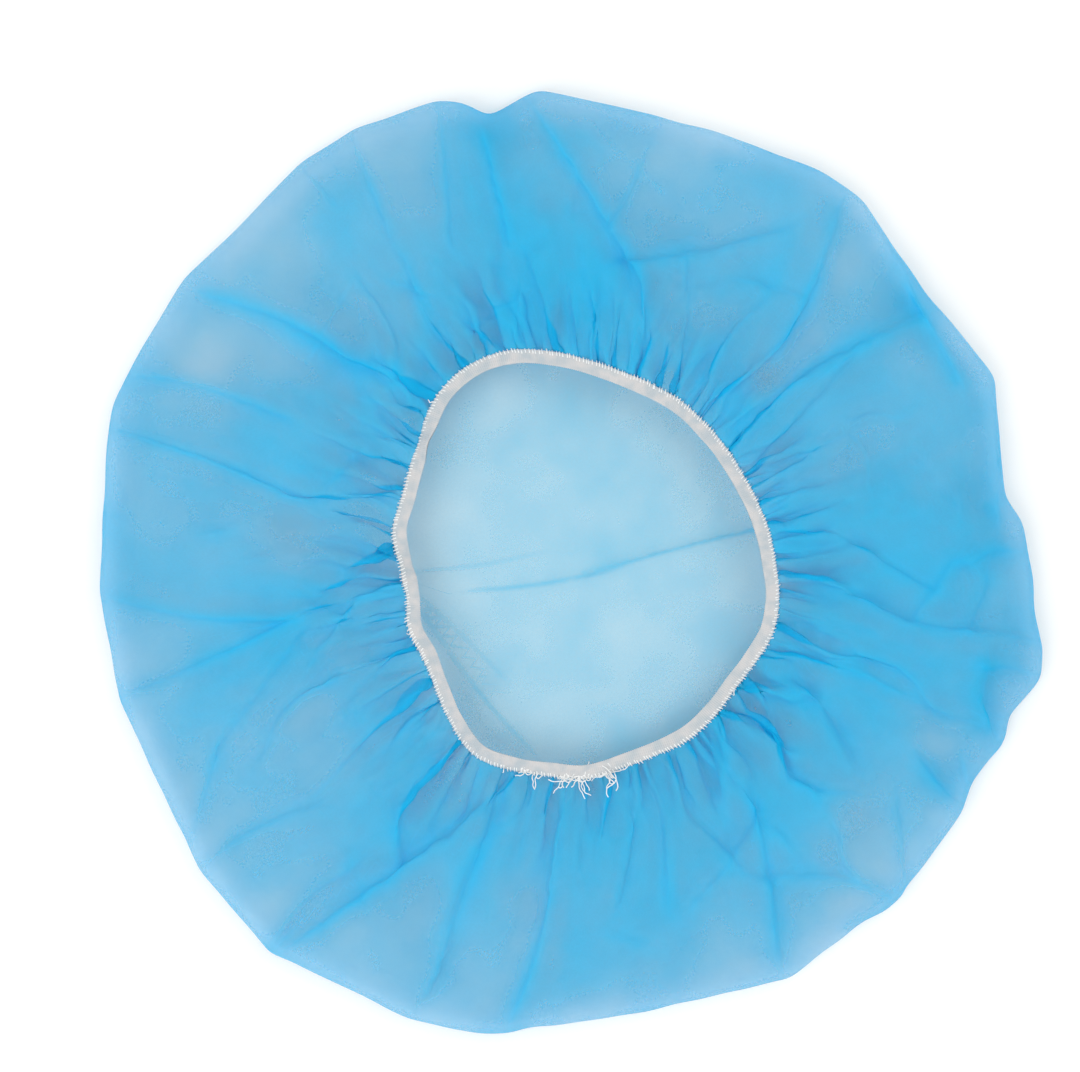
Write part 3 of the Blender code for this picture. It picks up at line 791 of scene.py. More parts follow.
def small_folds(random):
    """Short narrow folds that fan out from the elastic."""
    made = []
    for number in range(SMALL_FOLDS):
        angle = (number + random.uniform(-0.45, 0.45)) * 360 / SMALL_FOLDS
        reach = random.uniform(0.06, 0.26) * random.uniform(0.7, 1.3)
        share = random.uniform(0.90, 0.97)
        slant = random.uniform(-5, 5)
        wide = random.uniform(1.8, 3.4)
        start = brim_point(radians(angle), share)
        end = brim_point(radians(angle + slant * reach / 0.2), share - reach)
        made.append(fold_between(
            start, end, bow=random.uniform(-0.08, 0.08), width=wide, width_end=0.7 * wide,
            slide=random.uniform(0.8, 1.2), dense=0.1, side=random.choice([-1, 1])))
    return made


def loose_creases(random):
    """Faint creases anywhere on the brim, at any slant: crisp thin cloth has many."""
    made = []
    for _ in range(LOOSE_CREASES):
        angle = random.uniform(0, 360)
        share = random.uniform(0.18, 0.80)
        reach = random.uniform(-0.10, 0.30)
        start = brim_point(radians(angle), share)
        end = brim_point(radians(angle + random.uniform(-14, 14)), max(share - reach, 0.04))
        made.append(fold_between(
            start, end, bow=random.uniform(-0.08, 0.08), width=random.uniform(3, 6),
            width_end=random.uniform(2, 4), slide=random.uniform(0.5, 0.8), dense=0.05,
            side=random.choice([-1, 1])))
    return made


minor_folds = small_folds(random) + loose_creases(random)
print("small folds and creases:", len(minor_folds))

# %% Crease the cloth
MINOR_SLIDE = 0.30        # shares of the folds' slide that are drawn now
CHARTED_SLIDE = 0.34
TILT = 0.5                # share of their lift
RIDGE = 0.3               # height of the sharp ridge along a fold, over its lift

place = vertex_places(cloth.data)
plan, height = place[:, :2], place[:, 2]
# the folds die away on the crown and just before the elastic
allowed = eased(-0.08, 0.06, brim_share) * (1 - eased(0.955, 0.99, brim_share))
# the long folds come last, so that the small ones don't break their lines
for folds, slid in ((minor_folds, MINOR_SLIDE), (FOLDS, CHARTED_SLIDE)):
    plan, height = fold_over(plan, height, folds, allowed, slid=slid, lifted=TILT, pinched=RIDGE)
write_places(cloth.data, np.column_stack([plan, height]))
print("highest fold in mm:", round(height.max() / MM, 1))

# %% Draw the fine gathers
FINE_GATHERS = 126        # round the mouth: one every 3.4 mm
FINE_HEIGHT = 0.0011
FINE_SLIDE = 0.00060      # how far a fine gather moves the cloth sideways, which laps it over itself
MID_GATHERS = 67
MID_HEIGHT = 0.0013
MID_SLIDE = 0.0008
CRUMPLE = 0.0004          # height of the small crumples all over
LEAN = 1.2                # how far the gathers' sideways waves run ahead of their height, in radians
RAGGED = 0.05             # how unevenly they start, as a share of the brim


def smooth_noise(angle, reach, random, counts, rings, number=10):
    """A smooth random wave pattern over the disc, about -1 to 1."""
    total = np.zeros_like(angle)
    for _ in range(number):
        turns = random.integers(*counts)
        waves = random.uniform(*rings)
        total += np.sin(turns * angle + waves * reach / MM + random.uniform(0, 2 * pi))
    return total / np.sqrt(number / 2) / 2


def add_fine_gathers(place, normal, reach, angle, share, random):
    """Moves the cloth near the elastic into its finest gathers, and crumples all of the brim."""
    around = np.column_stack([-np.sin(angle), np.cos(angle), np.zeros_like(angle)])
    start = RAGGED * smooth_noise(angle, reach, random, (6, 50), (0, 0.0001), number=16)
    # the fine ones are full next to the elastic, the wide ones further out
    fine = eased(0.80, 0.92, share + start) * (1 - 0.55 * eased(0.955, 0.985, share))
    mid = eased(0.55, 0.80, share + start) * (1 - eased(0.93, 0.99, share))
    lift = np.zeros_like(angle)
    slide = np.zeros_like(angle)
    for count, height, sideways, grown in ((FINE_GATHERS, FINE_HEIGHT, FINE_SLIDE, fine),
                                           (MID_GATHERS, MID_HEIGHT, MID_SLIDE, mid)):
        phase = count * angle + 1.7 * smooth_noise(angle, reach, random, (3, 16), (-0.10, 0.10))
        strength = 0.8 + 0.6 * smooth_noise(angle, reach, random, (4, 36), (-0.15, 0.15))
        lean = LEAN * smooth_noise(angle, reach, random, (2, 12), (-0.05, 0.05))
        lift += height * grown * strength * np.sin(phase)
        slide += sideways * grown * strength * np.sin(phase + lean)
    crumple = CRUMPLE * smooth_noise(angle, reach, random, (10, 60), (-0.9, 0.9), number=24)
    lift += crumple * eased(-0.05, 0.05, share)
    return place + normal * lift[:, None] + around * slide[:, None]


normals = read_rows(cloth.data.vertex_normals, "vector", 3)
place = add_fine_gathers(vertex_places(cloth.data), normals, reach, angle, brim_share, random)
print("gathers round the mouth:", FINE_GATHERS, "fine,", MID_GATHERS, "wide")

# %% Tuck the cloth under the elastic
TUCK_SLOPE = 1.3          # how steeply the cloth may rise just outside the elastic
TUCK_GAP = 0.0002         # between the elastic and the cloth below it
TUCK_START = 0.0003       # how far outside the elastic the cloth starts to rise
TUCK_REACH = 0.030        # cloth further out than this has no need to be tucked


def near_elastic(place):
    """Distance in plan outside the elastic's middle line, and the angle about the mouth's centre."""
    x, y = place[:, 0] - MOUTH_X, place[:, 1] - MOUTH_Y
    angle = np.arctan2(y, x)
    return np.hypot(x, y) - MOUTH_RADIUS * read_round(mouth_share, angle), angle


outside, mouth_angle = near_elastic(place)
underside_of_band = UNDERSIDE + mouth_height(mouth_angle) + HEM_RISE
rising = np.maximum(0, outside - BAND_WIDTH / 2 - TUCK_START)
room = underside_of_band - TUCK_GAP + TUCK_SLOPE * rising
under = (outside < TUCK_REACH) & (brim_share > 0.5)
print("points tucked under the elastic:", np.count_nonzero(under & (place[:, 2] > room)))
place[:, 2] = np.where(under, np.minimum(place[:, 2], room), place[:, 2])
place[:, 2] = np.maximum(place[:, 2], UNDERSIDE)

# %% Crease the crown
RIPPLE = 0.0004           # height of the crown's slow ripples
RIPPLE_BASE = 0.0002      # and their mean height above the table
CROWN_ENDS = (0.125, 0.150)   # the crown's own shapes fade out between these distances
# the crown's own creases, charted like the brim's folds; dense is the depth of the crease's line
CREASES = laid_on_cap([
    (761, 529, 674, 549, 590, 575, 2.6, 2.6, 0.3, 0.3, 0.42, 1),
    (590, 575, 542, 584, 480, 590, 2.6, 2.4, 0.3, 0.2, 0.3, 1),
    (715, 537, 663, 551, 614, 561, 3, 3, 0.2, 0.2, 0.06, -1),
    (430, 570, 481, 565, 530, 555, 3, 3, 0.2, 0.15, 0.14, 1),
    (428, 622, 444, 644, 459, 666, 2.4, 2.4, 0.25, 0.25, 0.2, 1),
    (459, 666, 497, 714, 527, 746, 2.4, 2.4, 0.25, 0.2, 0.22, 1),
    (430, 606, 462, 636, 495, 669, 2.4, 2.4, 0.2, 0.2, 0.14, -1),
])

inside = 1 - eased(*CROWN_ENDS, reach)
plan, height = fold_over(place[:, :2], place[:, 2], CREASES, inside, lifted=0.3, pinched=0.5)
ripple = smooth_noise(angle, reach, random, (1, 7), (-0.10, 0.10), number=16)
height += inside * (RIPPLE * np.maximum(ripple, -0.5) + RIPPLE_BASE)
place = np.column_stack([plan, np.maximum(height, UNDERSIDE)])
write_places(cloth.data, place)
print("cloth height in mm:", round(place[:, 2].max() / MM, 1))

# %% [markdown]
# ## How dense the cloth looks
# Even this fine mesh has less area than the cut cloth: the rest is in puckers too small to
# draw. They still show, because puckered cloth has more fibres in the way. So each point keeps
# a number for how dense the cloth is there, and the material reads it. It starts from how much
# flat cloth there is to each piece of the mesh. Along folds and at the rolled edge it is
# higher, and where the photograph shows a clearly darker or paler place it is set one by one.

# %% Measure how gathered it is
MOST_GATHERED = 2.0
LEAST_GATHERED = 0.9
EVENING_ROUNDS = 7        # how often the measure is averaged with its neighbours


def face_areas(place, faces):
    """Areas of four-sided faces, from their diagonals."""
    one = place[faces[:, 2]] - place[faces[:, 0]]
    other = place[faces[:, 3]] - place[faces[:, 1]]
    return 0.5 * np.linalg.norm(np.cross(one, other), axis=1)


def gathering(mesh, flat):
    """Flat area over laid area about each vertex, evened out a little."""
    faces = read_rows(mesh.polygons, "vertices", 4, kind=np.int64)
    laid_area = face_areas(vertex_places(mesh), faces)
    flat_area = face_areas(np.column_stack([flat, np.zeros(len(flat))]), faces)
    for _ in range(EVENING_ROUNDS):
        pair = [np.zeros(len(flat)), np.zeros(len(flat))]
        for total, area in zip(pair, (laid_area, flat_area)):
            for corner in range(4):
                np.add.at(total, faces[:, corner], area)
        laid_area = pair[0][faces].mean(axis=1) / 4
        flat_area = pair[1][faces].mean(axis=1) / 4
    return np.clip(pair[1] / pair[0], LEAST_GATHERED, MOST_GATHERED)


gathered = gathering(cloth.data, flat)
print("flat cloth to each piece of the mesh:", round(gathered.min(), 2), "to", round(gathered.max(), 2))

# %% Table of the darker and paler places
Patch = namedtuple("Patch", "x y spread gain")
# where the brim is clearly darker or paler than about there: a place in the
# photograph's pixels, how far round it in millimetres, and how much more or less dense
PATCHES = [Patch(*row) for row in (
    (488, 128, 9, 0.6), (505, 122, 5, 0.3), (470, 132, 5, 0.1), (478, 200, 12, 0.2), (352, 205, 9, 0.3),
    (507, 316, 5, 0.35), (388, 378, 10, 0.2), (955, 590, 7, 0.2), (840, 672, 6, 0.15),
    (775, 808, 9, 0.25), (540, 290, 22, 0.2), (590, 300, 16, 0.2), (660, 290, 6, -0.5),
    (658, 335, 6, -0.5), (768, 372, 6, -0.7), (802, 338, 5, -0.25), (830, 300, 8, -0.3),
    (845, 262, 7, -0.3), (700, 214, 14, -0.15), (602, 184, 7, -0.15), (645, 240, 8, -0.25),
    (729, 299, 10, -0.15), (898, 372, 12, -0.15), (825, 420, 9, -0.25), (836, 465, 9, -0.25),
    (880, 450, 10, -0.15), (895, 535, 8, -0.15), (545, 207, 4, -0.3), (535, 160, 5, -0.2),
    (422, 184, 9, -0.2), (430, 222, 8, -0.2), (370, 130, 10, -0.2), (349, 326, 6, -0.35),
    (310, 270, 10, -0.15), (226, 357, 10, -0.35), (250, 350, 8, -0.3), (280, 375, 8, -0.25),
    (315, 374, 4, -0.3), (345, 403, 5, -0.3), (226, 422, 7, -0.3), (395, 307, 5, -0.2),
    (410, 330, 5, -0.2), (255, 560, 10, -0.25), (290, 545, 9, -0.25), (320, 520, 8, -0.15),
    (311, 733, 11, -0.4), (290, 760, 9, -0.3), (340, 650, 8, -0.25), (465, 790, 5, -0.35),
    (441, 815, 5, -0.3), (438, 883, 7, -0.3), (420, 910, 9, -0.25), (515, 895, 8, -0.35),
    (505, 940, 8, -0.3), (255, 790, 12, -0.2), (480, 1012, 8, -0.15), (520, 1012, 8, -0.1),
    (440, 1000, 8, -0.15), (852, 810, 7, -0.3), (883, 775, 6, -0.25), (822, 845, 6, -0.25),
    (806, 733, 7, -0.2), (748, 768, 5, -0.2), (710, 898, 8, -0.25), (595, 922, 6, -0.3),
    (829, 914, 7, -0.15), (918, 741, 6, -0.25), (645, 850, 6, -0.15), (740, 960, 10, -0.15),
    (690, 830, 6, -0.15), (300, 200, 12, -0.3), (367, 145, 12, -0.15), (665, 166, 14, -0.25),
    (692, 318, 8, -0.35), (727, 325, 7, -0.35), (900, 464, 12, -0.25), (893, 831, 14, -0.3),
    (865, 873, 10, -0.25), (145, 692, 12, -0.25), (284, 928, 12, -0.3), (374, 970, 12, -0.25),
    (367, 658, 8, -0.45), (325, 706, 8, -0.35), (415, 775, 6, -0.3), (353, 402, 8, -0.35),
    (208, 367, 12, -0.25), (415, 339, 7, -0.35), (457, 222, 16, -0.15), (554, 886, 12, -0.2),
    (679, 956, 10, -0.15), (1004, 582, 8, -0.15), (910, 270, 8, 0.25), (990, 415, 7, 0.2),
    (180, 298, 9, 0.3), (478, 1004, 9, 0.15), (789, 277, 8, 0.3), (298, 332, 6, 0.4),
    (263, 596, 8, 0.3), (208, 609, 8, 0.2), (478, 859, 8, 0.4), (402, 831, 8, 0.4), (235, 734, 8, 0.2),
    (914, 609, 14, 0.25), (956, 706, 10, 0.15), (554, 152, 6, 0.2), (589, 222, 6, 0.3),
    (160, 430, 10, 0.15), (450, 122, 8, -0.2), (519, 131, 8, -0.3), (540, 200, 6, -0.3),
    (672, 235, 9, -0.35), (755, 381, 5, -0.5), (318, 263, 10, -0.3), (235, 256, 8, -0.2),
    (166, 540, 9, -0.25), (291, 533, 10, -0.4), (194, 803, 10, -0.15), (277, 914, 8, -0.15),
    (499, 997, 8, -0.2), (942, 755, 7, -0.25), (727, 775, 8, -0.3), (762, 706, 4, -0.3),
    (810, 755, 4, -0.3), (893, 270, 9, 0.2), (990, 415, 6, 0.1), (789, 298, 6, 0.3),
    (817, 395, 8, 0.25), (485, 914, 7, 0.3), (402, 831, 6, 0.2), (374, 886, 7, 0.2),
)]

# and the same for the crown. These are partly the web's uneven tone and partly painted light: the paler
# place at the crown's left edge lightens the shade that the band casts there
CROWN_PATCHES = [Patch(*row) for row in (
    (445, 510, 14, -0.14), (455, 600, 14, -0.14), (560, 430, 18, 0.10), (680, 480, 14, -0.06),
    (600, 560, 22, 0.08), (600, 620, 12, -0.08), (545, 680, 16, 0.10), (637, 651, 14, 0.08),
    (520, 560, 10, -0.08), (625, 430, 14, -0.12), (526, 457, 12, 0.08), (422, 575, 8, -0.15),
)]
print("places charted:", len(PATCHES), "on the brim,", len(CROWN_PATCHES), "on the crown")

# %% Make the cloth denser along folds and edges
BUNCHING = 0.16           # how much the puckers bunch up in some places and leave others smooth
EDGE_CREASE = 0.35        # how much denser it is where it turns over at the outline
EDGE_REACH = 0.0038       # and how far to both sides of that line
BRIM_COMES_IN = (0.125, 0.160)    # distances between which the brim's own density fades in
CROWN_GOES_OUT = (0.085, 0.125)   # and between which the crown's fades out


def round_patch(place, patch):
    """1 in a patch's middle, falling off round it."""
    x, y = on_cap(patch.x, patch.y)
    away = np.hypot(place[:, 0] / MM - x, place[:, 1] / MM - y) / patch.spread
    return np.exp(-0.5 * away ** 2)


bunched = smooth_noise(angle, reach, random, (4, 22), (-0.16, 0.16), number=18)
uneven = 1 + BUNCHING * bunched
for patch in PATCHES:
    uneven += patch.gain * round_patch(place, patch)
for fold in FOLDS + minor_folds:
    near, _, off, _, fade, _ = beside_fold(place[:, :2], fold)
    uneven[near] += fold.dense * np.exp(-0.5 * off ** 2) * fade
gathered *= 1 + (uneven - 1) * eased(*BRIM_COMES_IN, reach)
gathered += EDGE_CREASE * np.exp(-((reach - TURN_AT) / EDGE_REACH) ** 2)
# on the crown the charted places are partly painted light, lightening the band's shade at its left edge
for patch in CROWN_PATCHES:
    gathered += patch.gain * round_patch(place, patch) * (1 - eased(*CROWN_GOES_OUT, reach))
print("mean density of the layers over flat cloth:", round(gathered.mean(), 3))

# %% Keep the numbers that the material reads
LAYER_COVER = 0.375       # how much of what is behind it one smooth layer of the cloth hides
COVER_CLOUD = 0.12        # how much more or less in the web's clouds
CLOUDS = ((0.030, 1.0), (0.013, 0.8), (0.006, 0.5))   # sizes of the clouds, and how strong each is
CLOUD_SEED = 7
FOLD_LINE = 0.12          # how much denser the cloth is right on a fold's own line
FAR_OFF = 9.0             # millimetres off any fold's line, for points that are near none
FAINTEST = 0.02           # where less than this share of a fold is left, it draws no line
LIFTS_OFF = 0.150         # past this distance from the middle the crown starts to leave the table


def cloudiness(flat, random):
    """Soft random clouds on the flat cloth, about -1 to 1."""
    total = np.zeros(len(flat))
    for size, weight in CLOUDS:
        cells = int(UV_SPAN / size) + 2
        grid = random.uniform(-1, 1, (cells + 1, cells + 1))
        spot = (flat + UV_SPAN / 2) / size
        cell = np.floor(spot).astype(int)
        share = eased(0.0, 1.0, spot - cell)
        i, j = cell[:, 0], cell[:, 1]
        near_side = grid[i, j] + (grid[i + 1, j] - grid[i, j]) * share[:, 0]
        far_side = grid[i, j + 1] + (grid[i + 1, j + 1] - grid[i, j + 1]) * share[:, 0]
        total += weight * (near_side + (far_side - near_side) * share[:, 1])
    return total


def fold_lines(plan, folds, where, depths):
    """For each point, the millimetres to the nearest fold's line, below zero on one side of it
    so that they pass through zero between points, and that line's depth."""
    off_line = np.full(len(plan), FAR_OFF)
    depth = np.zeros(len(plan))
    for fold, deep in zip(folds, depths):
        near, _, off, sigma, fade, _ = beside_fold(plan, fold)
        away = off * sigma / MM
        closer = (np.abs(away) < np.abs(off_line[near])) & (fade > FAINTEST)
        off_line[near] = np.where(closer, away, off_line[near])
        depth[near] = np.where(closer, deep * fade, depth[near])
    return off_line, depth * where


# the brim's lines stop short of the outline and of the elastic
on_brim = eased(0.0, 0.05, brim_share) * (1 - eased(0.94, 0.98, brim_share))
brim_lines = fold_lines(place[:, :2], FOLDS, on_brim, [FOLD_LINE] * len(FOLDS))
crown_lines = fold_lines(place[:, :2], CREASES, inside, [fold.dense for fold in CREASES])
off_line, line_depth = (np.where(brim_share > 0, *pair) for pair in zip(brim_lines, crown_lines))
clouds = cloudiness(flat, np.random.default_rng(CLOUD_SEED))
layer_cover = LAYER_COVER * (1 + COVER_CLOUD * clouds)
# a layer gathered n times leaves open what one smooth layer does, to the power n
density = -np.log(1 - layer_cover) * gathered
# a mask for the painted shade of the crown where it lies on the table
painted_shade_on_table = 1 - eased(LIFTS_OFF, TURN_AT, reach)
for name, values in (("cloth_density", density), ("painted_shade_on_table", painted_shade_on_table),
                     ("off_line", off_line), ("line_depth", line_depth)):
    layer = cloth.data.attributes.new(name, "FLOAT", "POINT")
    layer.data.foreach_set("value", values)
mesh_area = sum(face.area for face in cloth.data.polygons)
print("mesh area:", round(mesh_area, 4), "m2; cut:", round(CUT_AREA, 4), "m2")

# %% [markdown]
# ## Spunbond polypropylene
# The cloth is a web of endless plastic fibres, a few hundredths of a millimetre thick, laid at
# random and pressed together at small points. It weighs 20 grams a square metre and lets a
# good part of the light through, so one layer is pale and three or four are a clear blue. The
# shader is made the same way: each layer covers a share of what is behind it, more where it is
# dense, and the rest is seen through. Part of the light that it does catch goes on downwards,
# which is what a Translucent shader does. Press points and fibres are finer than a pixel here,
# so a soft grain as wide as a few of them stands for both.

# %% Make the cloth's material
GRAIN_MM = 0.9            # size of the grain
COVER_WEB = 0.04          # how much denser or thinner the cloth is in its grain
CORE_MM = 0.15            # half width of a fold's line at its full depth
LINE_MM = 1.2             # and half width at which it has faded out
THROUGH = 0.30            # share of the light it catches that leaves on the other side
GAP_ABOVE = (0.975, 0.955, 0.955, 1.0)      # what the open part lets through, in the brim
GAP_PAINTED_SHADE_ON_TABLE = (0.965, 0.935, 0.90, 1.0)    # and where the cloth lies on the table, darker as painted shade

web = new_material("spunbond_polypropylene")
cut_place = add_node(web, "UVMap", uv_map="cut")
cloth_mm = add_node(web, "VectorMath", {0: cut_place.outputs["UV"], 3: UV_SPAN / MM}, operation="SCALE")
grain = add_node(web, "TexNoise", {
    "Vector": cloth_mm.outputs["Vector"], "Scale": 1 / GRAIN_MM, "Detail": 1.0}, noise_dimensions="2D")
grain_part = add_node(web, "MapRange", {
    "Value": grain.outputs["Fac"], "From Min": 0.3, "From Max": 0.7,
    "To Min": 1 - COVER_WEB, "To Max": 1 + COVER_WEB})
# a fold's own line is a sharp crease, thinner than the mesh could draw
off_line = add_node(web, "Attribute", attribute_name="off_line")
line_depth = add_node(web, "Attribute", attribute_name="line_depth")
from_line = add_node(web, "Math", {0: off_line.outputs["Fac"]}, operation="ABSOLUTE")
on_line = add_node(web, "MapRange", {
    "Value": from_line.outputs["Value"], "From Min": CORE_MM, "From Max": LINE_MM,
    "To Min": 1.0, "To Max": 0.0})
creased = add_node(web, "Math", {
    0: on_line.outputs["Result"], 1: line_depth.outputs["Fac"]}, operation="MULTIPLY")
# e to the power of minus the density is what a layer leaves open
density = add_node(web, "Attribute", attribute_name="cloth_density")
thickness = add_node(web, "Math", {
    0: density.outputs["Fac"], 1: grain_part.outputs["Result"], 2: creased.outputs["Value"]},
    operation="MULTIPLY_ADD")
left_open = add_node(web, "Math", {0: exp(-1), 1: thickness.outputs["Value"]}, operation="POWER")
hidden = add_node(web, "Math", {
    0: 1.0, 1: left_open.outputs["Value"]}, operation="SUBTRACT", use_clamp=True)

# painted shade: where the cloth lies on the table little light gets in under it, so its tint and its open
# part are painted duller there
painted_shade_on_table = add_node(web, "Attribute", attribute_name="painted_shade_on_table")
tint = add_node(web, "MixRGB", {
    "Fac": painted_shade_on_table.outputs["Fac"], "Color1": screen_colour("1ec6f9"), "Color2": screen_colour("1ec4f4")})
fibres = add_node(web, "BsdfPrincipled", {
    "Base Color": tint.outputs["Color"], "Roughness": 0.7, "IOR": 1.49, "Specular IOR Level": 0.0})
glow = add_node(web, "BsdfTranslucent", {"Color": tint.outputs["Color"]})
caught = add_node(web, "MixShader", {0: THROUGH, 1: fibres.outputs["BSDF"], 2: glow.outputs["BSDF"]})
# even the open part dims the light a little: fibres too fine to hide anything are everywhere. Where the
# cloth lies on the table it is darker still, as painted shade
gap_tint = add_node(web, "MixRGB", {
    "Fac": painted_shade_on_table.outputs["Fac"], "Color1": GAP_ABOVE, "Color2": GAP_PAINTED_SHADE_ON_TABLE})
gaps = add_node(web, "BsdfTransparent", {"Color": gap_tint.outputs["Color"]})
layered = add_node(web, "MixShader", {
    0: hidden.outputs["Value"], 1: gaps.outputs["BSDF"], 2: caught.outputs["Shader"]})
add_node(web, "OutputMaterial", {"Surface": layered.outputs["Shader"]})
cloth.data.materials.append(web)
print("cloth's material:", web.name, "of", len(web.node_tree.nodes), "nodes")

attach(cloth, "root")
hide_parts("cap_body")
print("cloth, cut flat, in mm:", round(2 * CUT_RADIUS / MM))

# %% [markdown]
# ## The elastic
# A narrow knitted elastic, 4.7 mm wide: fine ribs run across it, and their looped ends make
# both edges slightly toothed. One rib is modelled, repeated by an Array along a straight line
# and bent round the mouth by a Curve modifier. Both are applied, and the last rib is merged
# with the first.

# %% Draw the line of the mouth
RIB_PITCH = 0.0007
PATH_POINTS = 720
Bump = namedtuple("Bump", "angle spread size")
# where the elastic is twisted about its length, in radians, and where it is wider or narrower
TWISTS = [Bump(143.6, 4, 0.55), Bump(181, 5, -0.45)]
LUMPS = [Bump(184.5, 2.5, 0.16), Bump(208.7, 7, 0.08), Bump(143.6, 3, -0.12)]


def bumps_at(angle, bumps):
    """The sum of all bumps at a mouth angle; each falls off to both sides."""
    away = [((np.degrees(angle) - bump.angle + 180) % 360 - 180) / bump.spread for bump in bumps]
    return sum(bump.size * np.exp(-off ** 2) for bump, off in zip(bumps, away))


def band_tilt(angle):
    """How far the elastic is turned about its own length: it lies nearly flat but for its twists."""
    return bumps_at(angle, TWISTS) + 0.12 * np.sin(3 * angle + 1.0)


def band_scale(angle):
    """The elastic's width and thickness over their mean: its lumps, and small slow changes."""
    return 1 + bumps_at(angle, LUMPS) + 0.02 * np.sin(11 * angle) + 0.02 * np.sin(29 * angle + 2)


path_angle = np.linspace(0, 2 * pi, PATH_POINTS, endpoint=False)
path_plan = mouth_point(path_angle)
path_z = UNDERSIDE + mouth_height(path_angle) + HEM_RISE + BAND_THICKNESS / 2
bpy.ops.object.select_all(action="DESELECT")
bpy.ops.curve.primitive_nurbs_path_add()
path = bpy.context.object
path.name = "mouth_path"
path.data.splines.clear()
spline = path.data.splines.new("POLY")
spline.points.add(PATH_POINTS - 1)
for point, (x, y), z, turned in zip(spline.points, path_plan, path_z, path_angle):
    point.co = (x, y, z, 1)
    point.tilt = band_tilt(turned)
    point.radius = band_scale(turned)
spline.use_cyclic_u = True
path.data.twist_mode = "Z_UP"
path.data.use_radius = True
path_steps = np.column_stack([path_plan, path_z])
path_length = np.linalg.norm(np.roll(path_steps, -1, axis=0) - path_steps, axis=1).sum()
ribs = int(round(path_length / RIB_PITCH))
rib_length = path_length / ribs
print("elastic:", ribs, "ribs of", round(rib_length / MM, 3), "mm on", round(path_length / MM, 1), "mm")

# %% A helper that bends a row of copies round the mouth
MERGE_RIBS = 0.00002      # a rib's points this close to the next rib's become one
MERGE_EDGES = 0.00003     # and so do those of the elastic's two faces


def follow_mouth(piece, count, pitch, merge):
    """Repeats a piece along x and bends the row round the mouth."""
    bpy.ops.object.select_all(action="DESELECT")
    piece.select_set(True)
    bpy.context.view_layer.objects.active = piece
    row = piece.modifiers.new("row", "ARRAY")
    row.count = count
    row.use_relative_offset = False
    row.use_constant_offset = True
    row.constant_offset_displace = (pitch, 0, 0)
    row.use_merge_vertices = merge
    row.merge_threshold = MERGE_RIBS
    bend = piece.modifiers.new("bend", "CURVE")
    bend.object = path
    bend.deform_axis = "POS_X"
    bpy.ops.object.modifier_apply(modifier="row")
    bpy.ops.object.modifier_apply(modifier="bend")

# %% Model one rib and repeat it
RIB_STEPS = 4
WIDTH_STEPS = 9

bpy.ops.object.select_all(action="DESELECT")
bpy.ops.mesh.primitive_grid_add(x_subdivisions=RIB_STEPS, y_subdivisions=WIDTH_STEPS, size=1)
band = bpy.context.object
band.name = "knitted_elastic"
rib = vertex_places(band.data)
along = rib[:, 0] + 0.5                       # 0 to 1 along one rib
across = rib[:, 1] * 2                        # -1 to 1 over the elastic's width
crest = np.sin(pi * along) ** 2               # 1 on the rib, 0 in the grooves between ribs
edge = np.abs(across) ** 3
plump = 1 - 0.55 * np.abs(across) ** 4        # the elastic is thinner at its edges
width = BAND_WIDTH / 2 * (0.94 + 0.10 * crest)
height = BAND_THICKNESS / 2 * plump * (0.62 + 0.38 * crest + 0.14 * edge)
write_places(band.data, np.column_stack([along * rib_length, across * width, height]))
bpy.ops.object.mode_set(mode="EDIT")
bpy.ops.mesh.select_all(action="SELECT")
bpy.ops.mesh.duplicate()
bpy.ops.transform.resize(value=(1, 1, -1), center_override=(0, 0, 0))
bpy.ops.mesh.flip_normals()
bpy.ops.object.mode_set(mode="OBJECT")
follow_mouth(band, ribs, rib_length, True)
bpy.ops.object.mode_set(mode="EDIT")
bpy.ops.mesh.select_all(action="SELECT")
bpy.ops.mesh.remove_doubles(threshold=MERGE_EDGES)
bpy.ops.object.mode_set(mode="OBJECT")
print("elastic band:", len(band.data.vertices), "vertices")
bpy.ops.object.shade_smooth()

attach(band, "root")
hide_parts("elastic_band")

# %% [markdown]
# ## Knitted polyester
# Polyester yarn, knitted over thin rubber strands and left white. Its colour is painted a light
# grey, as painted shade for the many loops of the knit that shade each other. It is matt and
# slightly fuzzy. Two patterns carry that: one as fine as the yarn's loops, as relief, and one a
# few millimetres wide, as tone.

# %% Make the elastic's material
LOOP_SCALE = 1800.0       # noise waves in a metre, for loops of about half a millimetre
TONE_SCALE = 260.0        # and for tones about 4 mm wide

knit = new_material("knitted_polyester_elastic")
knit_place = add_node(knit, "TexCoord")
fuzz = add_node(knit, "TexNoise", {
    "Vector": knit_place.outputs["Object"], "Scale": LOOP_SCALE, "Detail": 1.0})
patches = add_node(knit, "TexNoise", {
    "Vector": knit_place.outputs["Object"], "Scale": TONE_SCALE, "Detail": 1.0})
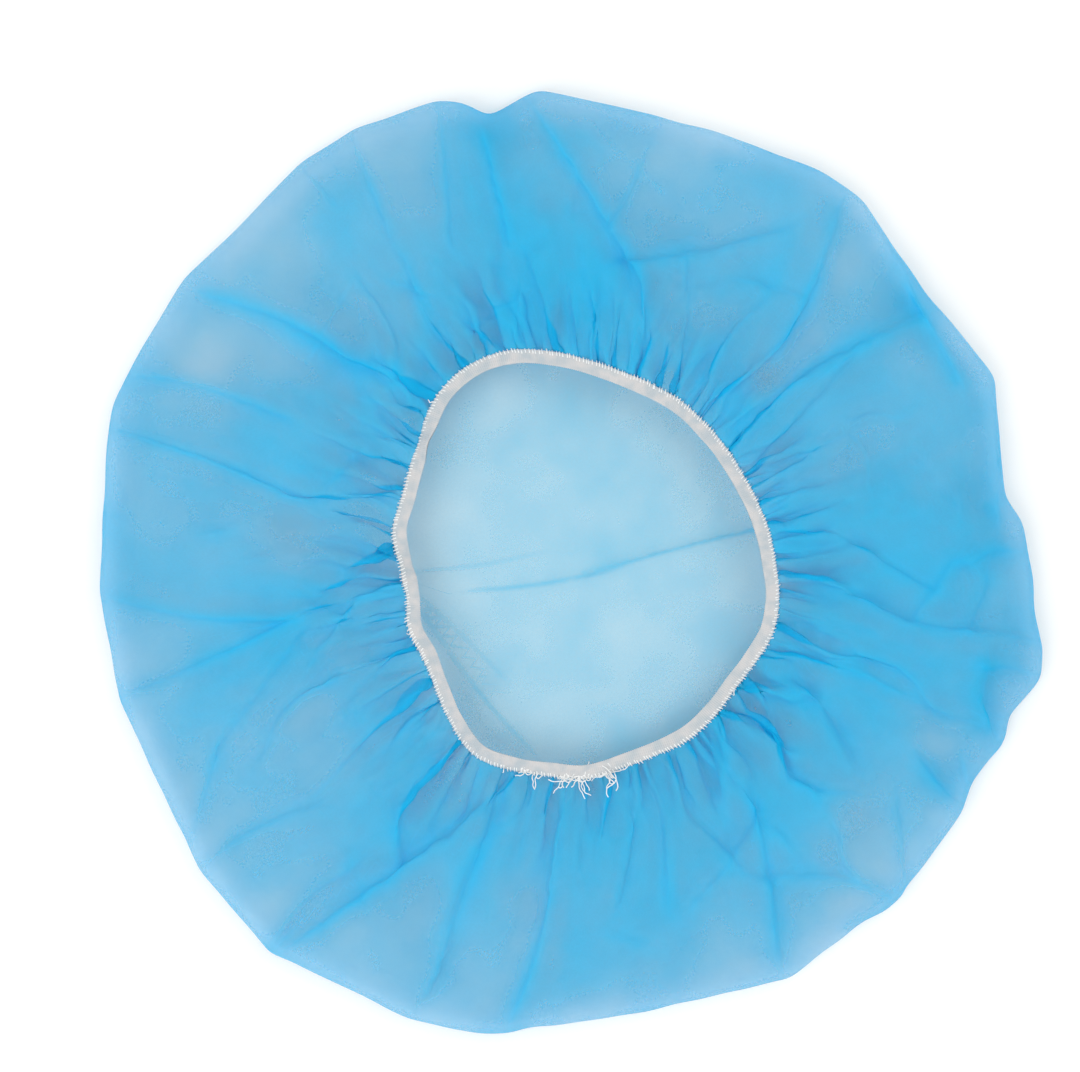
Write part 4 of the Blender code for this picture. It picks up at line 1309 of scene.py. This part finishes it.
# both colours are a grey that paints the shade of the knit's loops on white yarn; the change between them
# is the knit's uneven tone
knit_tone_and_painted_shade = add_node(knit, "ValToRGB", {"Fac": patches.outputs["Fac"]})
knit_tone_and_painted_shade.color_ramp.elements[0].position = 0.35
knit_tone_and_painted_shade.color_ramp.elements[1].position = 0.65
knit_tone_and_painted_shade.color_ramp.elements[0].color = screen_colour("b4bdc4")
knit_tone_and_painted_shade.color_ramp.elements[1].color = screen_colour("c8c8ca")
knit_relief = add_node(knit, "Bump", {"Height": fuzz.outputs["Fac"], "Strength": 0.5, "Distance": 0.0002})
knit_skin = add_node(knit, "BsdfPrincipled", {
    "Base Color": knit_tone_and_painted_shade.outputs["Color"], "Roughness": 0.85, "Sheen Weight": 0.3,
    "Normal": knit_relief.outputs["Normal"]})
add_node(knit, "OutputMaterial", {"Surface": knit_skin.outputs["BSDF"]})
band.data.materials.append(knit)
print("elastic's material:", knit.name, "of", len(knit.node_tree.nodes), "nodes")

# %% [markdown]
# ## The stitching
# The elastic is held by overlock stitches. What shows of them is a row of short loops of
# white thread that come from the elastic's face, go over its outer edge and dive into the
# cloth, a little over a millimetre apart. One loop is drawn as a curve with a round section,
# made a mesh, repeated along the same line, and then each copy is nudged a little.

# %% Model one stitch and repeat it
STITCH_PITCH = 0.00115
THREAD_RADIUS = 0.00020
STITCH_NUDGE = 0.00016
# a loop's points: how far along the elastic, inwards from its outer edge, and above its face
LOOP = [
    (0.00000, 0.00110, -0.00012), (0.00010, 0.00060, 0.00012), (0.00022, 0.00010, 0.00002),
    (0.00034, -0.00025, -0.00055), (0.00042, -0.00040, -0.00130),
]

stitches_round = int(round(path_length / STITCH_PITCH))
bpy.ops.object.select_all(action="DESELECT")
bpy.ops.curve.primitive_nurbs_path_add()
stitch_curve = bpy.context.object
for point, (x, y, z) in zip(stitch_curve.data.splines[0].points, LOOP):
    point.co = (x, y - BAND_WIDTH / 2, z + BAND_THICKNESS / 2, 1)
stitch_curve.data.splines[0].use_endpoint_u = True
stitch_curve.data.resolution_u = 3
stitch_curve.data.bevel_depth = THREAD_RADIUS
stitch_curve.data.bevel_resolution = 1
stitch_curve.data.use_fill_caps = True
bpy.ops.object.convert(target="MESH")
stitches = bpy.context.object
stitches.name = "overlock_stitches"
stitch_vertices = len(stitches.data.vertices)
follow_mouth(stitches, stitches_round, path_length / stitches_round, False)
bpy.ops.object.shade_smooth()
loops = vertex_places(stitches.data)
which = np.arange(len(loops)) // stitch_vertices
nudge = random.normal(0, STITCH_NUDGE, (stitches_round, 3)) * (1, 1, 0.3)
write_places(stitches.data, loops + nudge[which])
outwards, _ = near_elastic(loops)
print("stitches:", stitches_round, "reaching", round(outwards.max() / MM, 2), "mm outside the line")

# %% [markdown]
# ## Loose thread ends
# Where the elastic's two ends meet, the stitching thread was cut and left, and it sticks out
# in a few curly tufts. Each end is a thin curve that starts at the elastic's outer edge and
# rests on the highest cloth below it. A few single fibres stand out elsewhere.

# %% Draw the thread ends
Tuft = namedtuple("Tuft", "angle ends length spread")
TUFTS = [Tuft(*row) for row in (
    (253, 6, 4.5, 1.0), (256.5, 7, 5.5, 1.0), (263.5, 8, 6.5, 0.8), (267, 10, 8.0, 1.2),
    (269.5, 6, 5.5, 1.0), (275.5, 12, 8.5, 0.9), (246, 3, 2.5, 3.0), (184, 3, 2.5, 3.0),
    (60, 3, 2.5, 20.0), (120, 3, 2.5, 20.0), (215, 3, 2.5, 15.0), (330, 3, 2.5, 20.0),
)]
END_POINTS = 8
END_RADIUS = 0.00019
END_INSET = 0.0006        # the ends start this far inside the elastic's outer edge
START_GAP = 0.0001        # and this far above its face
REST_GAP = 0.0003         # least gap between a strand's middle line and the cloth it rests on
REST_PLAY = 0.0008        # how much higher than that it may lie, and how fast it comes down
STRAND_REACH = 0.0012     # a strand lies on the highest cloth this far about it
ENDS_WITHIN = 0.016       # all the ends lie this close to the elastic's middle line

cloth_place = vertex_places(cloth.data)
near_mouth = cloth_place[(np.abs(near_elastic(cloth_place)[0]) < ENDS_WITHIN)]


def top_below(x, y):
    """Height of the highest cloth within a strand's reach of a place in plan."""
    away = np.hypot(near_mouth[:, 0] - x, near_mouth[:, 1] - y)
    close = away < STRAND_REACH
    return near_mouth[close, 2].max() if close.any() else near_mouth[away.argmin(), 2]


bpy.ops.object.select_all(action="DESELECT")
bpy.ops.curve.primitive_nurbs_path_add()
ends = bpy.context.object
ends.name = "thread_ends"
ends.data.splines.clear()
for tuft in TUFTS:
    for _ in range(tuft.ends):
        angle = radians(tuft.angle + random.uniform(-tuft.spread, tuft.spread))
        heading = angle + random.uniform(-1.1, 1.1)
        turn = random.choice([-1, 1]) * random.uniform(0.1, 0.7)
        step = tuft.length * MM * random.uniform(0.6, 1.2) / (END_POINTS - 1)
        x, y = mouth_point(angle, BAND_WIDTH / 2 - END_INSET)
        level = UNDERSIDE + float(mouth_height(angle)) + HEM_RISE + BAND_THICKNESS + START_GAP
        strand = ends.data.splines.new("NURBS")
        strand.points.add(END_POINTS - 1)
        for number, point in enumerate(strand.points):
            lowest = top_below(x, y) + REST_GAP + REST_PLAY * random.uniform(0, 1) * (number > 0)
            level = max(level - REST_PLAY, lowest)
            point.co = (x, y, level, 1)
            heading += turn + random.uniform(-1.2, 1.2)
            x += step * cos(heading)
            y += step * sin(heading)
        strand.order_u = 4
        strand.use_endpoint_u = True
ends.data.dimensions = "3D"
ends.data.resolution_u = 4
ends.data.bevel_depth = END_RADIUS
ends.data.bevel_resolution = 1
ends.data.use_fill_caps = True
bpy.ops.object.convert(target="MESH")
ends = bpy.context.object
bpy.ops.object.shade_smooth()
print("thread ends:", sum(tuft.ends for tuft in TUFTS), "of them,", len(ends.data.vertices), "vertices")

# %% [markdown]
# ## Spun polyester thread
# Bright white sewing thread of a few twisted plies, matt and a little hairy. At this size the
# plies show only as a slightly uneven white, so one fine noise gives both tone and relief.

PLY_SCALE = 2500.0        # noise waves in a metre, for plies of 0.4 mm

thread = new_material("spun_polyester_thread")
thread_place = add_node(thread, "TexCoord")
plies = add_node(thread, "TexNoise", {
    "Vector": thread_place.outputs["Object"], "Scale": PLY_SCALE, "Detail": 1.0})
thread_tone = add_node(thread, "ValToRGB", {"Fac": plies.outputs["Fac"]})
thread_tone.color_ramp.elements[0].color = screen_colour("e6eaec")
thread_tone.color_ramp.elements[1].color = screen_colour("fafafa")
thread_relief = add_node(thread, "Bump", {
    "Height": plies.outputs["Fac"], "Strength": 0.4, "Distance": 0.0001})
thread_skin = add_node(thread, "BsdfPrincipled", {
    "Base Color": thread_tone.outputs["Color"], "Roughness": 0.7, "Sheen Weight": 0.2,
    "Normal": thread_relief.outputs["Normal"]})
add_node(thread, "OutputMaterial", {"Surface": thread_skin.outputs["BSDF"]})
for piece in (stitches, ends):
    piece.data.materials.append(thread)
    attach(piece, "root")
print("threads' material:", thread.name, "of", len(thread.node_tree.nodes), "nodes")

# %% Remove the line that the pieces were bent along
bpy.ops.object.select_all(action="DESELECT")
path.select_set(True)
bpy.ops.object.delete()
print("pieces:", [piece.name for piece in (cloth, band, stitches, ends)])
